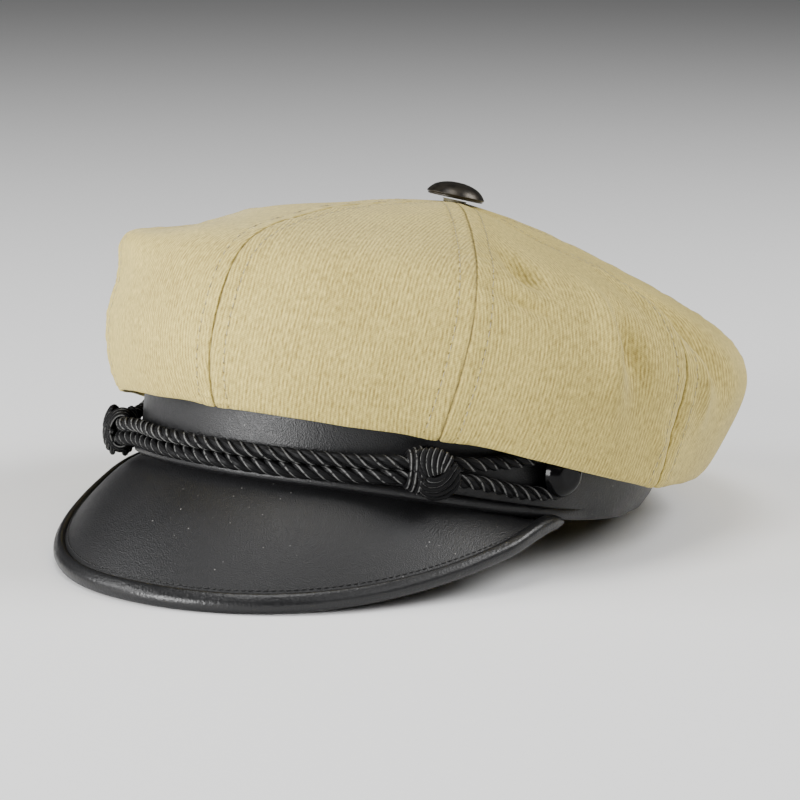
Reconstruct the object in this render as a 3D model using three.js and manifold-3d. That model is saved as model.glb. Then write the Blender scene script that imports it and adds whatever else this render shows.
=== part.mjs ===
// A mariner's cap: a full crown of eight cloth panels on a leather head band, with a leather
// peak, its folded binding, a cord with two knots held by two side buttons, and a top button.
//
// Everything is shaped in the band's own frame, in millimetres: +Z up out of the head opening,
// -Y towards the peak, +X towards the wearer's left, and the band's lower edge at the back at
// Z = 0. The last group tips the cap back until it lies on its peak and on the back of its band.

import * as THREE from "three";
import { mergeVertices } from "three/addons/utils/BufferGeometryUtils.js";
import Module from "manifold-3d";

// Driving dimensions
const gap = 0.3; // between pieces that touch
const restFlat = 0.3; // leather pressed flat where the cap rests

const bandHalfLength = 102.8; // the head band's outer oval, front to back
const bandHalfWidth = 84.3; // and side to side
const bandHeight = 32;
const bandWall = 3;
const bandArch = 7.8; // rise of the band's lower edge over the brow
const lipOut = 1.8; // the rolled lip along the band's lower edge, over the peak
const lipHeight = 2.8;

const crownHeight = 101; // the crest above the band's lower edge
const crownHalfLength = 124; // the crown's widest outline, seen from above
const crownHalfWidth = 111;
const crownSetback = 10.6; // that outline's centre behind the band's
const crownSag = 2; // and to the wearer's right
const hemStandoff = 20; // the hem off the band's wall, clear of the cord and its buttons
const crestSetback = 17.5; // the top button behind the band's centre
const clothWall = 1.8; // twill with its backing
const crestHole = 3.2; // radius of the hole where the panels' points meet
const seamRise = 0.9; // how far the seams stand proud of the panels
const seamSpread = 9;
const foldDepth = 5; // of the deepest fold

const peakHalfWidth = 89.3; // the peak's outer edge, seen from above
const peakTip = 140; // its front edge ahead of the band's centre
const peakRoot = 17; // its widest place ahead of the band's centre
const peakDrop = 29.6; // its front edge below the band's lower edge
const peakSideRise = 8.6; // height from which its side edges sweep down
const peakSweep = 1.43; // how evenly they do, 1 for a plain arch
const peakThickness = 2;
const peakSpread = 80; // the peak's ends, in degrees round the band from the front
const peakKnee = 0.31; // how far out the plate bends down, as a share of its width
const peakBulge = 0.13; // and how far it stands above a straight line there
const bindingHeight = 6.2; // the folded binding along the peak's edge, over the plate's thickness
const bindingDepth = 6; // and along the plate

const cordDiameter = 5.3;
const knotTurn = 46; // the knots, in degrees round the band from the front
const knotWrap = 3; // thickness of the wraps round the two strands
const knotWidth = 5; // and their width along the strands
const knotPitch = 4.6; // from one wrap to the next
const knotSlant = 14; // of the outer wraps, in degrees
const cordSag = 3.4; // how much lower the knot hangs on the wearer's right

const buttonTurn = 73.5; // the side buttons, in degrees round the band
const buttonRise = 16.8;
const buttonDiameter = 15.6;
const buttonDome = 3.6;
const buttonRim = 1.2;
const buttonShank = 7.6;

const crestButtonDiameter = 20.8;
const crestButtonDome = 4.4;
const crestButtonRim = 1.6;
const crestButtonLean = 7; // towards the back on the wearer's left, in degrees
const crestShankDiameter = 8.4;
const crestShankHeight = 1.2;
const crestFoot = 0.7; // its foot above the crest, clear of the cloth that it leans towards
const crestPostDiameter = 5.2;
const crestPostLength = 6;

// A table's rows as objects with named values.
const named = (columns, rows) =>
  rows.map((row) => Object.fromEntries(columns.map((column, place) => [column, row[place]])));

// The crown's net of control points. One row for each seam and for each panel's middle, from the
// front seam round the wearer's left to the back seam; the other side mirrors it. turn is in
// degrees, and swing is how far the row has turned towards the front where it meets the hem. A
// column ending in Out is a share of the distance from the crest's axis to the widest outline,
// hemOff is a share of hemStandoff, and a column ending in Rise is a share of crownHeight.
const crownColumns = [
  ...["turn", "swing", "topRise", "brimRise", "shoulderOut", "shoulderRise"],
  ...["sideOut", "sideRise", "wallOut", "wallRise", "hemOff", "hemRise"],
];
const crownRows = named(crownColumns, [
  [0, 0, 0.98, 0.92, 0.92, 0.847, 0.98, 0.668, 1.02, 0.465, 0.3, 0.296],
  [20, 2, 0.99, 0.915, 0.91, 0.842, 0.965, 0.66, 0.99, 0.445, 0.319, 0.264],
  [39, 4.5, 0.99, 0.9, 0.91, 0.832, 0.965, 0.638, 0.97, 0.425, 0.313, 0.255],
  [62, 3.5, 0.95, 0.85, 0.91, 0.772, 1, 0.58, 0.995, 0.366, 0.695, 0.158],
  [84, 0.8, 0.875, 0.795, 0.89, 0.685, 1.01, 0.51, 0.96, 0.31, 0.959, 0.055],
  [108, 0, 0.895, 0.758, 0.92, 0.654, 1.02, 0.495, 0.965, 0.31, 0.876, 0.085],
  [131, 0, 0.91, 0.73, 0.93, 0.63, 1.03, 0.477, 0.96, 0.31, 0.878, 0.09],
  [156, 0, 0.91, 0.728, 0.92, 0.625, 1.02, 0.465, 0.99, 0.287, 0.947, 0.085],
  [180, 0, 0.91, 0.733, 0.92, 0.624, 1.02, 0.465, 1, 0.277, 1.004, 0.08],
]);
const topOut = 0.38;
const brimOut = 0.7;

// The crown's folds: ridges with a positive rise and dents with a negative one. panel counts
// panels round from the front seam towards the wearer's left, and down runs from 0 at the crest
// to 1 at the band. across is a share of a panel's width and along of the way down, lean is how
// far a fold has moved round by one of its own lengths, and rise is a share of foldDepth.
const foldRows = named(["panel", "down", "across", "along", "lean", "rise"], [
  [1.22, 0.29, 0.07, 0.05, 0.05, -0.52],
  [1.19, 0.38, 0.09, 0.022, 0.08, -0.32],
  [1.59, 0.41, 0.06, 0.1, 0.03, 0.44],
  [1.68, 0.42, 0.08, 0.075, 0.03, -0.52],
  [1.95, 0.3, 0.07, 0.1, 0.02, 0.24],
  [2.12, 0.31, 0.11, 0.1, 0.1, -0.9],
  [2.13, 0.45, 0.05, 0.07, 0.04, 0.44],
  [2.3, 0.42, 0.1, 0.08, 0.05, -0.36],
  [3.5, 0.3, 0.3, 0.08, 0, -0.5],
  [4.6, 0.4, 0.2, 0.12, 0.1, -0.5],
  [5.5, 0.3, 0.25, 0.1, 0, -0.6],
  [6.4, 0.69, 0.4, 0.07, 0, -0.56],
  [6.98, 0.445, 0.35, 0.045, 0, -0.28],
  [7.02, 0.365, 0.35, 0.035, 0, 0.68],
  [7.1, 0.255, 0.45, 0.065, 0, -0.88],
  [7.1, 0.12, 0.4, 0.05, 0, -0.44],
  [2, 0.1, 0.25, 0.04, 0, -0.26],
  [2, 0.21, 0.15, 0.04, 0, 0.24],
]);

// The cord's two strands along one side of the cap, from the brow to the side button: turn in
// degrees round the band, heights as shares of bandHeight, how far the strands stand off the
// band's wall as a share of cordDiameter, and the share of cordSag by which they are lower on the
// wearer's right.
const strandRows = named(["turn", "lower", "upper", "off", "sag"], [
  [0, 0.381, 0.556, 0.113, 0],
  [18, 0.381, 0.556, 0.113, 0],
  [32, 0.403, 0.578, 0.189, 0.15],
  [39, 0.437, 0.609, 0.679, 0.75],
  [46, 0.447, 0.619, 0.736, 1],
  [53, 0.434, 0.622, 0.642, 0.95],
  [60, 0.363, 0.622, 0.189, 0.6],
  [66, 0.32, 0.66, 0.057, 0.1],
]);

const panelCount = 8;
const panelShares = [0, 0.12, 0.3, 0.5, 0.7, 0.88, 1]; // columns across a panel
const panelRows = 17;
const bandSteps = 72;
const peakSteps = 34;
const cordSteps = 104;
const cordSides = 8;
const knotStations = 16;
const knotSides = 6;
const roundSides = 18;

const degrees = Math.PI / 180;
const mix = (a, b, share) => a + (b - a) * share;

const wasm = await Module();
wasm.setup();

function toSolid(geometry) {
  const bare = geometry.clone();
  bare.deleteAttribute("normal");
  bare.deleteAttribute("uv");
  const merged = mergeVertices(bare, 1e-4);
  const mesh = new wasm.Mesh({
    numProp: 3,
    vertProperties: merged.attributes.position.array,
    triVerts: new Uint32Array(merged.index.array),
  });
  return new wasm.Manifold(mesh);
}

function fromSolid(solid) {
  const mesh = solid.getMesh();
  const geometry = new THREE.BufferGeometry();
  geometry.setAttribute("position", new THREE.BufferAttribute(mesh.vertProperties, 3));
  geometry.setIndex(new THREE.BufferAttribute(mesh.triVerts, 1));
  return geometry;
}

// A closed surface through rings of points. Each ring runs once round the section; the last ring
// joins the first when closed, and otherwise both ends are capped by a strip across the ring.
function loft(rings, closed = false) {
  const count = rings[0].length;
  const faces = [];
  const spans = closed ? rings.length : rings.length - 1;
  for (let r = 0; r < spans; r++) {
    const near = r * count;
    const far = ((r + 1) % rings.length) * count;
    for (let k = 0; k < count; k++) {
      const next = (k + 1) % count;
      faces.push(near + k, near + next, far + next, near + k, far + next, far + k);
    }
  }
  if (!closed) {
    const last = (rings.length - 1) * count;
    for (let k = 0; k < count / 2 - 1; k++) {
      const back = count - 1 - k;
      faces.push(k, back, back - 1, k, back - 1, k + 1);
      faces.push(last + k, last + back - 1, last + back, last + k, last + k + 1, last + back - 1);
    }
  }
  const positions = rings.flat().flatMap((p) => [p.x, p.y, p.z]);
  const geometry = new THREE.BufferGeometry();
  geometry.setAttribute("position", new THREE.Float32BufferAttribute(positions, 3));
  geometry.setIndex(faces);
  return geometry;
}

// Outward direction of the band's oval at an angle from the front.
function bandNormal(turn) {
  const normal = new THREE.Vector3(Math.sin(turn) / bandHalfWidth, -Math.cos(turn) / bandHalfLength, 0);
  return normal.normalize();
}

// A point at an angle from the front, at a distance outside the band's wall, at a height.
function bandPoint(turn, out, z) {
  const normal = bandNormal(turn);
  return new THREE.Vector3(
    bandHalfWidth * Math.sin(turn) + normal.x * out,
    -bandHalfLength * Math.cos(turn) + normal.y * out,
    z,
  );
}

// Height of the band's lower edge, which arches over the brow.
const bandEdge = (turn) => (Math.cos(turn) > 0 ? bandArch * (1 - Math.sin(turn) ** 4) : 0);

// Distance from the crest's axis, along a direction seen from above, to an oval.
function ovalReach(turn, halfWidth, halfLength, sag, setback) {
  const across = Math.sin(turn) / halfWidth;
  const ahead = -Math.cos(turn) / halfLength;
  const startAcross = sag / halfWidth;
  const startAhead = (crestSetback - setback) / halfLength;
  const a = across ** 2 + ahead ** 2;
  const b = across * startAcross + ahead * startAhead;
  const c = startAcross ** 2 + startAhead ** 2 - 1;
  return (-b + Math.sqrt(b * b - a * c)) / a;
}

// Weights of the four control points round a span of a cubic B-spline.
function splineWeights(s) {
  const r = 1 - s;
  return [r ** 3 / 6, (3 * s ** 3 - 6 * s ** 2 + 4) / 6, (3 * r ** 3 - 6 * r ** 2 + 4) / 6, s ** 3 / 6];
}

// One row's control points from the crest to the band: direction, distance from the crest's axis
// and height. The last three turn the cloth up behind the hem and lay it on the band's top edge.
function meridian(row) {
  const turn = row.turn * degrees;
  const hemTurn = (row.turn - row.swing) * degrees;
  const reach = ovalReach(turn, crownHalfWidth, crownHalfLength, crownSag, crownSetback);
  const wall = ovalReach(hemTurn, bandHalfWidth, bandHalfLength, 0, 0);
  const tuck = bandHeight + gap;
  const hemOut = wall + row.hemOff * hemStandoff - crownSag * Math.sin(turn);
  const hem = { turn: hemTurn, out: hemOut, z: row.hemRise * crownHeight };
  return [
    { turn, out: crestHole, z: crownHeight },
    { turn, out: topOut * reach, z: row.topRise * crownHeight },
    { turn, out: brimOut * reach, z: row.brimRise * crownHeight },
    { turn, out: row.shoulderOut * reach, z: row.shoulderRise * crownHeight },
    { turn, out: row.sideOut * reach, z: row.sideRise * crownHeight },
    { turn: mix(turn, hemTurn, 0.5), out: row.wallOut * reach, z: row.wallRise * crownHeight },
    hem,
    { turn: hemTurn, out: mix(wall + clothWall, hem.out, 0.7), z: mix(tuck, hem.z, 0.48) },
    { turn: hemTurn, out: wall + clothWall, z: tuck + 1.2 * clothWall },
    { turn: hemTurn, out: wall - 0.8 * bandWall, z: tuck },
  ];
}

const mirroredRows = crownRows
  .slice(1, -1)
  .reverse()
  .map((row) => ({ ...row, turn: 360 - row.turn, swing: -row.swing }));
const crownNet = [...crownRows, ...mirroredRows].map(meridian);

// A control point of the net. The net closes on itself round the crown, and is reflected past the
// ends of a meridian so that every meridian starts and ends on its own end points.
function netPoint(row, index) {
  const rows = crownNet.length;
  const points = crownNet[((row % rows) + rows) % rows];
  const whole = 2 * Math.PI * Math.floor(row / rows);
  const last = points.length - 1;
  if (index >= 0 && index <= last) {
    const point = points[index];
    return { turn: point.turn + whole, out: point.out, z: point.z };
  }
  const [end, inner] = index < 0 ? [points[0], points[1]] : [points[last], points[last - 1]];
  return { turn: end.turn + whole, out: 2 * end.out - inner.out, z: 2 * end.z - inner.z };
}

// The crown's outer face without folds. around counts the net's rows from the front seam, and
// down runs from 0 at the crest to 1 at the band.
function crownBase(around, down) {
  const spans = crownNet[0].length - 1;
  const place = Math.min(Math.max(down, 0) * spans, spans - 1e-9);
  const row = Math.floor(around);
  const span = Math.floor(place);
  const acrossWeights = splineWeights(around - row);
  const downWeights = splineWeights(place - span);
  let turn = 0;
  let out = 0;
  let z = 0;
  for (let i = 0; i < 4; i++) {
    for (let j = 0; j < 4; j++) {
      const point = netPoint(row - 1 + i, span - 1 + j);
      const weight = acrossWeights[i] * downWeights[j];
      turn += weight * point.turn;
      out += weight * point.out;
      z += weight * point.z;
    }
  }
  return new THREE.Vector3(out * Math.sin(turn), crestSetback - out * Math.cos(turn), z);
}

function crownNormal(around, down) {
  const step = 1e-3;
  const along = crownBase(around, Math.min(down + step, 1)).sub(crownBase(around, Math.max(down - step, 0)));
  const across = crownBase(around + step, down).sub(crownBase(around - step, down));
  return along.cross(across).normalize();
}

// Width in millimetres of one of the net's rows at a place on the crown.
function rowWidth(around, down) {
  return crownBase(around + 0.02, down).distanceTo(crownBase(around - 0.02, down)) / 0.04;
}

// How far a fold lifts the cloth at a place on the crown.
function foldRise(fold, panel, down) {
  const along = (down - fold.down) / fold.along;
  const half = panelCount / 2;
  const round = panel - fold.panel - fold.lean * along;
  const nearest = ((((round + half) % panelCount) + panelCount) % panelCount) - half;
  return fold.rise * foldDepth * Math.exp(-(along ** 2) - (nearest / fold.across) ** 2);
}

// How far the cloth stands proud of its base: the seams' ridges and the folds.
function crownRelief(around, down) {
  const rowsEach = crownNet.length / panelCount;
  const panel = around / rowsEach;
  const offSeam = Math.abs(panel - Math.round(panel)) * rowsEach * rowWidth(around, down);
  const ridge = seamRise * Math.exp(-((offSeam / seamSpread) ** 2)) * Math.sin(Math.PI * down);
  return foldRows.reduce((sum, fold) => sum + foldRise(fold, panel, down), ridge);
}

// A point of the crown; depth is measured inwards from the outer face.
function crownPoint(around, down, depth = 0) {
  const proud = crownRelief(around, down) - depth;
  return crownBase(around, down).addScaledVector(crownNormal(around, down), proud);
}

// One of the eight panels: a curved shell from the crest to the band, between two seams.
function panelGeometry(index) {
  const rowsEach = crownNet.length / panelCount;
  const first = index * rowsEach;
  const rings = [];
  for (let r = 0; r <= panelRows; r++) {
    const down = r / panelRows;
    const inset = gap / 2 / rowWidth(first, down);
    const across = panelShares.map((share) => mix(first + inset, first + rowsEach - inset, share));
    const outer = across.map((around) => crownPoint(around, down));
    const inner = across.map((around) => crownPoint(around, down, clothWall)).reverse();
    rings.unshift([...outer, ...inner]);
  }
  return loft(rings);
}

// The head band: an oval wall with a rolled lip over the peak, which thins towards the back. A
// margin grows it down and outwards, and its lip upwards too.
function bandGeometry(margin = 0) {
  const rings = [];
  for (let s = 0; s < bandSteps; s++) {
    const turn = (s / bandSteps) * 2 * Math.PI;
    const edge = bandEdge(turn) - margin;
    const tall = lipHeight + 2 * margin;
    const lip = lipOut * mix(0.3, 1, THREE.MathUtils.smoothstep(Math.cos(turn), -0.15, 0.15));
    rings.push([
      bandPoint(turn, -bandWall, edge),
      bandPoint(turn, -bandWall, bandHeight),
      bandPoint(turn, margin, bandHeight),
      bandPoint(turn, margin, edge + tall),
      bandPoint(turn, margin + lip * 0.8, edge + tall * 0.8),
      bandPoint(turn, margin + lip, edge + tall * 0.45),
      bandPoint(turn, margin + lip * 0.75, edge + tall * 0.12),
      bandPoint(turn, margin, edge),
    ]);
  }
  return loft(rings, true);
}

// How much of the peak's width is left at a bearing, which runs from -1 at the wearer's right end
// to 1 at the left: its outer edge runs in under the band's ends.
const peakFade = (bearing) => 1 - THREE.MathUtils.smoothstep(Math.abs(bearing), 0.8, 1.06);

// How thick the binding is at a bearing.
const bindingShare = (bearing) => mix(0.7, 1, peakFade(bearing));

// Where the peak's plate starts, under the middle of the band's wall. At the ends it drops, so
// that the binding passes under the band too.
function peakStart(bearing) {
  const turn = bearing * peakSpread * degrees;
  const under = THREE.MathUtils.smoothstep(Math.abs(bearing), 0.8, 0.96);
  const drop = mix(peakThickness, bindingHeight * bindingShare(bearing) + 2 * gap, under) / 2;
  return bandPoint(turn, -bandWall / 2, bandEdge(turn) - gap - drop);
}

function peakEdge(bearing) {
  const angle = bearing * 90 * degrees;
  const ahead = Math.cos(angle);
  const fall = 1 - (1 - ahead) ** peakSweep;
  const free = new THREE.Vector3(
    peakHalfWidth * Math.sin(angle),
    mix(-peakRoot, -peakTip, ahead),
    peakSideRise - (peakSideRise + peakDrop) * fall,
  );
  return peakStart(bearing).lerp(free, peakFade(bearing));
}

// The middle of the peak's plate: share 0 at the band and 1 at the outer edge.
function peakPoint(bearing, share) {
  const start = peakStart(bearing);
  const edge = peakEdge(bearing);
  const width = edge.clone().sub(start);
  const above = new THREE.Vector3(0, 0, 1).projectOnPlane(width.clone().normalize()).normalize();
  const knee = start
    .clone()
    .addScaledVector(width, peakKnee)
    .addScaledVector(above, width.length() * peakBulge);
  const rest = 1 - share;
  return start
    .multiplyScalar(rest * rest)
    .addScaledVector(knee, 2 * rest * share)
    .addScaledVector(edge, share * share);
}

function peakOut(bearing, share) {
  const step = 1e-3;
  return peakPoint(bearing, share + step).sub(peakPoint(bearing, share - step)).normalize();
}

function peakUp(bearing, share) {
  const step = 1e-3;
  const across = peakPoint(bearing + step, share).sub(peakPoint(bearing - step, share));
  return peakOut(bearing, share).cross(across).normalize();
}

const peakBearings = (reach) =>
  Array.from({ length: peakSteps + 1 }, (_, s) => mix(-reach, reach, s / peakSteps));

// The plate, grown by a margin all round.
function peakGeometry(margin = 0) {
  const shares = [0, 0.16, 0.34, 0.54, 0.76, 1];
  const rings = peakBearings(0.97 + margin / 60).map((bearing) => {
    const face = (side) => (share, index) => {
      const beyond = { 0: -margin, [shares.length - 1]: margin }[index] ?? 0;
      return peakPoint(bearing, share)
        .addScaledVector(peakOut(bearing, share), beyond)
        .addScaledVector(peakUp(bearing, share), side * (peakThickness / 2 + margin));
    };
    return [...shares.map(face(1)), ...shares.map(face(-1)).reverse()];
  });
  return loft(rings);
}

// The binding: leather folded over the plate's edge, a thick hairpin in section, pressed flat
// where its ends pass under the band.
function bindingGeometry() {
  const rings = peakBearings(0.97).map((bearing) => {
    const edge = peakPoint(bearing, 1);
    const out = peakOut(bearing, 1);
    const up = peakUp(bearing, 1);
    const roll = (bindingHeight / 2) * bindingShare(bearing);
    const tail = bindingDepth * bindingShare(bearing) - roll;
    const place = (along, above) => edge.clone().addScaledVector(out, along).addScaledVector(up, above);
    const arc = [90, 60, 30, 0, -30, -60, -90].map((angle) =>
      place(roll * Math.cos(angle * degrees), roll * Math.sin(angle * degrees)));
    return [place(-tail, roll), ...arc, place(-tail, -roll), place(-tail, 0)];
  });
  const folded = toSolid(loft(rings)).subtract(toSolid(peakGeometry(gap)));
  return fromSolid(folded.subtract(toSolid(bandGeometry(gap))));
}

// Height of a strand of the cord: side is 1 on the wearer's left and -1 on the right.
const strandHeight = (side, row, level) =>
  row[level] * bandHeight - (side < 0 ? row.sag * cordSag : 0);

// How far the middle of a strand stands off the band's wall.
const strandOff = (row) => cordDiameter / 2 + gap + row.off * cordDiameter;

// The cord's whole loop: along the lower strand, round one button's shank, back along the upper
// strand and round the other's.
function cordCurve() {
  const radius = cordDiameter / 2;
  const strand = (side, level) => (row) =>
    bandPoint(side * row.turn * degrees, strandOff(row), strandHeight(side, row, level));
  const bight = (side) => {
    const turn = buttonTurn * degrees;
    const stride = Math.hypot(bandHalfWidth * Math.cos(turn), bandHalfLength * Math.sin(turn));
    const loop = buttonShank / 2 + gap + radius;
    return [-75, -38, 0, 38, 75].map((angle) => {
      const ahead = (loop * Math.cos(angle * degrees)) / stride;
      return bandPoint(side * (turn + ahead), radius + gap, buttonRise + loop * Math.sin(angle * degrees));
    });
  };
  return new THREE.CatmullRomCurve3(
    [
      ...strandRows.map(strand(1, "lower")),
      ...bight(1),
      ...[...strandRows].reverse().map(strand(1, "upper")),
      ...strandRows.slice(1).map(strand(-1, "upper")),
      ...bight(-1).reverse(),
      ...strandRows.slice(1).reverse().map(strand(-1, "lower")),
    ],
    true,
  );
}

const cordGeometry = (radius) =>
  new THREE.TubeGeometry(cordCurve(), cordSteps, radius, cordSides, true);

// A knot: three wraps round both strands, the outer two slanted, cut clear of the strands.
function knotGeometry(side) {
  const turn = side * knotTurn * degrees;
  const row = strandRows.find((each) => each.turn === knotTurn);
  const height = (strandHeight(side, row, "lower") + strandHeight(side, row, "upper")) / 2;
  const centre = bandPoint(turn, strandOff(row), height);
  const out = bandNormal(turn);
  const up = new THREE.Vector3(0, 0, 1);
  const along = up.clone().cross(out);
  const ringRadius = cordDiameter / 2 + gap + knotWrap / 2;
  const straight = ((row.upper - row.lower) * bandHeight) / 2;
  const wrap = (place) => {
    const slant = -place * side * knotSlant * degrees;
    const axis = along.clone().applyAxisAngle(out, slant);
    const rise = up.clone().applyAxisAngle(out, slant);
    const middle = centre.clone().addScaledVector(along, place * knotPitch);
    const rings = Array.from({ length: knotStations }, (_, s) => {
      const angle = ((s + 0.5) / knotStations) * 2 * Math.PI;
      const radial = out.clone().multiplyScalar(Math.cos(angle)).addScaledVector(rise, Math.sin(angle));
      const hub = middle.clone().addScaledVector(rise, straight * Math.sign(Math.sin(angle)));
      const core = hub.addScaledVector(radial, ringRadius);
      return Array.from({ length: knotSides }, (__, k) => {
        const around = (k / knotSides) * 2 * Math.PI;
        return core
          .clone()
          .addScaledVector(radial, (Math.cos(around) * knotWrap) / 2)
          .addScaledVector(axis, (Math.sin(around) * knotWidth) / 2);
      });
    });
    return toSolid(loft(rings, true));
  };
  const wraps = [-1, 0, 1].map(wrap);
  const knot = wraps[0].add(wraps[1]).add(wraps[2]);
  return fromSolid(knot.subtract(toSolid(cordGeometry(cordDiameter / 2 + gap))));
}

// Turned pieces: radii and heights along the axis, starting and ending on it.
const turned = (profile) =>
  new THREE.LatheGeometry(profile.map(([radius, height]) => new THREE.Vector2(radius, height)), roundSides);

function sideButtonGeometry() {
  const seat = 2 * gap + cordDiameter;
  const radius = buttonDiameter / 2;
  const shank = buttonShank / 2;
  const rim = seat + buttonRim;
  return turned([
    [0, gap],
    [shank, gap],
    [shank, seat],
    [radius * 0.9, seat],
    [radius, seat + buttonRim * 0.5],
    [radius, rim],
    [radius * 0.88, rim + buttonDome * 0.48],
    [radius * 0.6, rim + buttonDome * 0.82],
    [radius * 0.3, rim + buttonDome * 0.96],
    [0, rim + buttonDome],
  ]);
}

function crestShankGeometry() {
  const post = crestPostDiameter / 2;
  const shank = crestShankDiameter / 2;
  return turned([
    [0, -crestPostLength],
    [post, -crestPostLength],
    [post, crestFoot],
    [shank, crestFoot],
    [shank * 0.9, crestFoot + crestShankHeight / 2],
    [shank, crestFoot + crestShankHeight],
    [0, crestFoot + crestShankHeight],
  ]);
}

function crestButtonGeometry() {
  const radius = crestButtonDiameter / 2;
  const seat = crestFoot + crestShankHeight + gap;
  const rim = seat + crestButtonRim;
  return turned([
    [0, seat],
    [radius * 0.86, seat],
    [radius * 0.98, seat + crestButtonRim * 0.4],
    [radius, seat + crestButtonRim * 0.75],
    [radius * 0.96, rim + crestButtonDome * 0.12],
    [radius * 0.8, rim + crestButtonDome * 0.5],
    [radius * 0.55, rim + crestButtonDome * 0.8],
    [radius * 0.28, rim + crestButtonDome * 0.95],
    [0, rim + crestButtonDome],
  ]);
}

// The cap tips back about the back of its band until the binding's lowest point is as low.
function restTilt(geometry) {
  const points = geometry.attributes.position;
  let tilt = 0;
  for (let i = 0; i < points.count; i++) {
    tilt = Math.max(tilt, Math.atan2(-points.getZ(i), bandHalfLength - points.getY(i)));
  }
  return tilt;
}

const binding = bindingGeometry();
const tilt = restTilt(binding);
const tip = new THREE.Matrix4().makeRotationX(-tilt);
const restHeight = restFlat - bandHalfLength * Math.sin(tilt);

// Presses a piece flat on the surface that the cap lies on.
function pressed(geometry) {
  const depth = 40;
  const surface = new THREE.BoxGeometry(4 * bandHalfWidth, 4 * peakTip, depth);
  surface.translate(0, 0, restHeight - depth / 2);
  surface.applyMatrix4(tip.clone().invert());
  return fromSolid(toSolid(geometry).subtract(toSolid(surface)));
}

const tipped = new THREE.Group();
function piece(name, geometry, material) {
  geometry.computeVertexNormals();
  const mesh = new THREE.Mesh(geometry, material);
  mesh.name = name;
  tipped.add(mesh);
  return mesh;
}

const finish = (color, roughness, metalness = 0) =>
  new THREE.MeshStandardMaterial({ color, roughness, metalness });
const twill = finish(0xc2b58c, 0.9);
const leather = finish(0x18181a, 0.45);
const rayon = finish(0x101012, 0.4);
const gloss = finish(0x0c0c0d, 0.15);
const bronze = finish(0x3a3228, 0.35, 0.8);
const olive = finish(0x8a8157, 0.8);

for (let index = 0; index < panelCount; index++) {
  piece(`crown_panel_${index + 1}`, panelGeometry(index), twill);
}
piece("head_band", pressed(bandGeometry()), leather);
piece("peak", peakGeometry(), leather);
piece("peak_binding", pressed(binding), leather);
piece("cord", cordGeometry(cordDiameter / 2), rayon);

const axis = new THREE.Vector3(0, 1, 0); // a turned piece's own axis
for (const [name, side] of [["left", 1], ["right", -1]]) {
  piece(`cord_knot_${name}`, knotGeometry(side), rayon);
  const button = piece(`side_button_${name}`, sideButtonGeometry(), gloss);
  const turn = side * buttonTurn * degrees;
  button.position.copy(bandPoint(turn, 0, buttonRise));
  button.quaternion.setFromUnitVectors(axis, bandNormal(turn));
}

const crest = new THREE.Group();
crest.position.set(0, crestSetback, crownHeight);
const lean = crestButtonLean * degrees;
const leanTurn = 135 * degrees;
const crestAxis = new THREE.Vector3(
  Math.sin(leanTurn) * Math.sin(lean),
  -Math.cos(leanTurn) * Math.sin(lean),
  Math.cos(lean),
);
crest.quaternion.setFromUnitVectors(axis, crestAxis);
crest.add(piece("top_button_shank", crestShankGeometry(), olive));
crest.add(piece("top_button", crestButtonGeometry(), bronze));
tipped.add(crest);
tipped.rotation.x = -tilt;

const cap = new THREE.Group();
cap.name = "mariner_cap";
cap.add(tipped);
const box = new THREE.Box3().setFromObject(cap, true);
tipped.position.set(
  -(box.min.x + box.max.x) / 2,
  -(box.min.y + box.max.y) / 2,
  -box.min.z,
);

export default cap;
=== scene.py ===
"""A mariner's cap on a pale floor: a full crown of eight twill panels over a black leather band,
with a bound leather peak, a twisted cord with two knots, two side buttons and a top button.

Every piece is shaped in the band's own frame, in millimetres: +Z up out of the head opening, -Y
towards the peak, +X towards the wearer's left, and the band's lower edge at the back at Z = 0.
"""

from __future__ import annotations

import logging
import math
from dataclasses import dataclass, field
from enum import Enum
from typing import Any, Callable, Mapping, Sequence

import bmesh
import bpy
import numpy as np
from mathutils import Matrix, Vector, noise

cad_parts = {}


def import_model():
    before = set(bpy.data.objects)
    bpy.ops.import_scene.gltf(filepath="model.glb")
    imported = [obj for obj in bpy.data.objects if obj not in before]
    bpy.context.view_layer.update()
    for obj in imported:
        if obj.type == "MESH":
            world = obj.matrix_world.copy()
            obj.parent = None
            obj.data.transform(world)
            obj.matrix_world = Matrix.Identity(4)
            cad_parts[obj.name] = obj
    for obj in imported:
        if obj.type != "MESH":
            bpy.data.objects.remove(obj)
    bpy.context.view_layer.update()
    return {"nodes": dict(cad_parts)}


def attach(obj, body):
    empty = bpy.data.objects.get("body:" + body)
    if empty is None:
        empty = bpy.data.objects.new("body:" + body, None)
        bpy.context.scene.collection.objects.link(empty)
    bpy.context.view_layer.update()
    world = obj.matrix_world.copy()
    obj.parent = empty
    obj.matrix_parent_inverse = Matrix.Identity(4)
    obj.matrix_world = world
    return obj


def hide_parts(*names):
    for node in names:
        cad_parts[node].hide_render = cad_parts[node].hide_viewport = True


log = logging.getLogger("mariner_cap")

MM = 0.001
GAP = 0.3  # the air between two pieces, in millimetres
STITCH_OFF = 5.6  # the crown's topstitching, off its seam
STITCH_PITCH = 3.0
PHOTO_WIDTH = 800
ROOT = "root"

Places = np.ndarray
Shape = Callable[[np.ndarray, np.ndarray], Places]


class Slot(Enum):
    """The record's material slots."""

    TWILL = "twill"
    LEATHER = "leather"
    CORD = "cord"
    GLOSS = "gloss"
    BRONZE = "bronze"
    OLIVE = "olive"


class Side(Enum):
    """The wearer's sides, with the sign of X on each."""

    LEFT = 1
    RIGHT = -1

    @property
    def word(self) -> str:
        """The side's name in lower case."""
        return self.name.lower()


def smoothstep(value: np.ndarray, low: float, high: float) -> np.ndarray:
    """Goes smoothly from 0 at low to 1 at high."""
    share = np.clip((value - low) / (high - low), 0, 1)
    return share * share * (3 - 2 * share)


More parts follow.
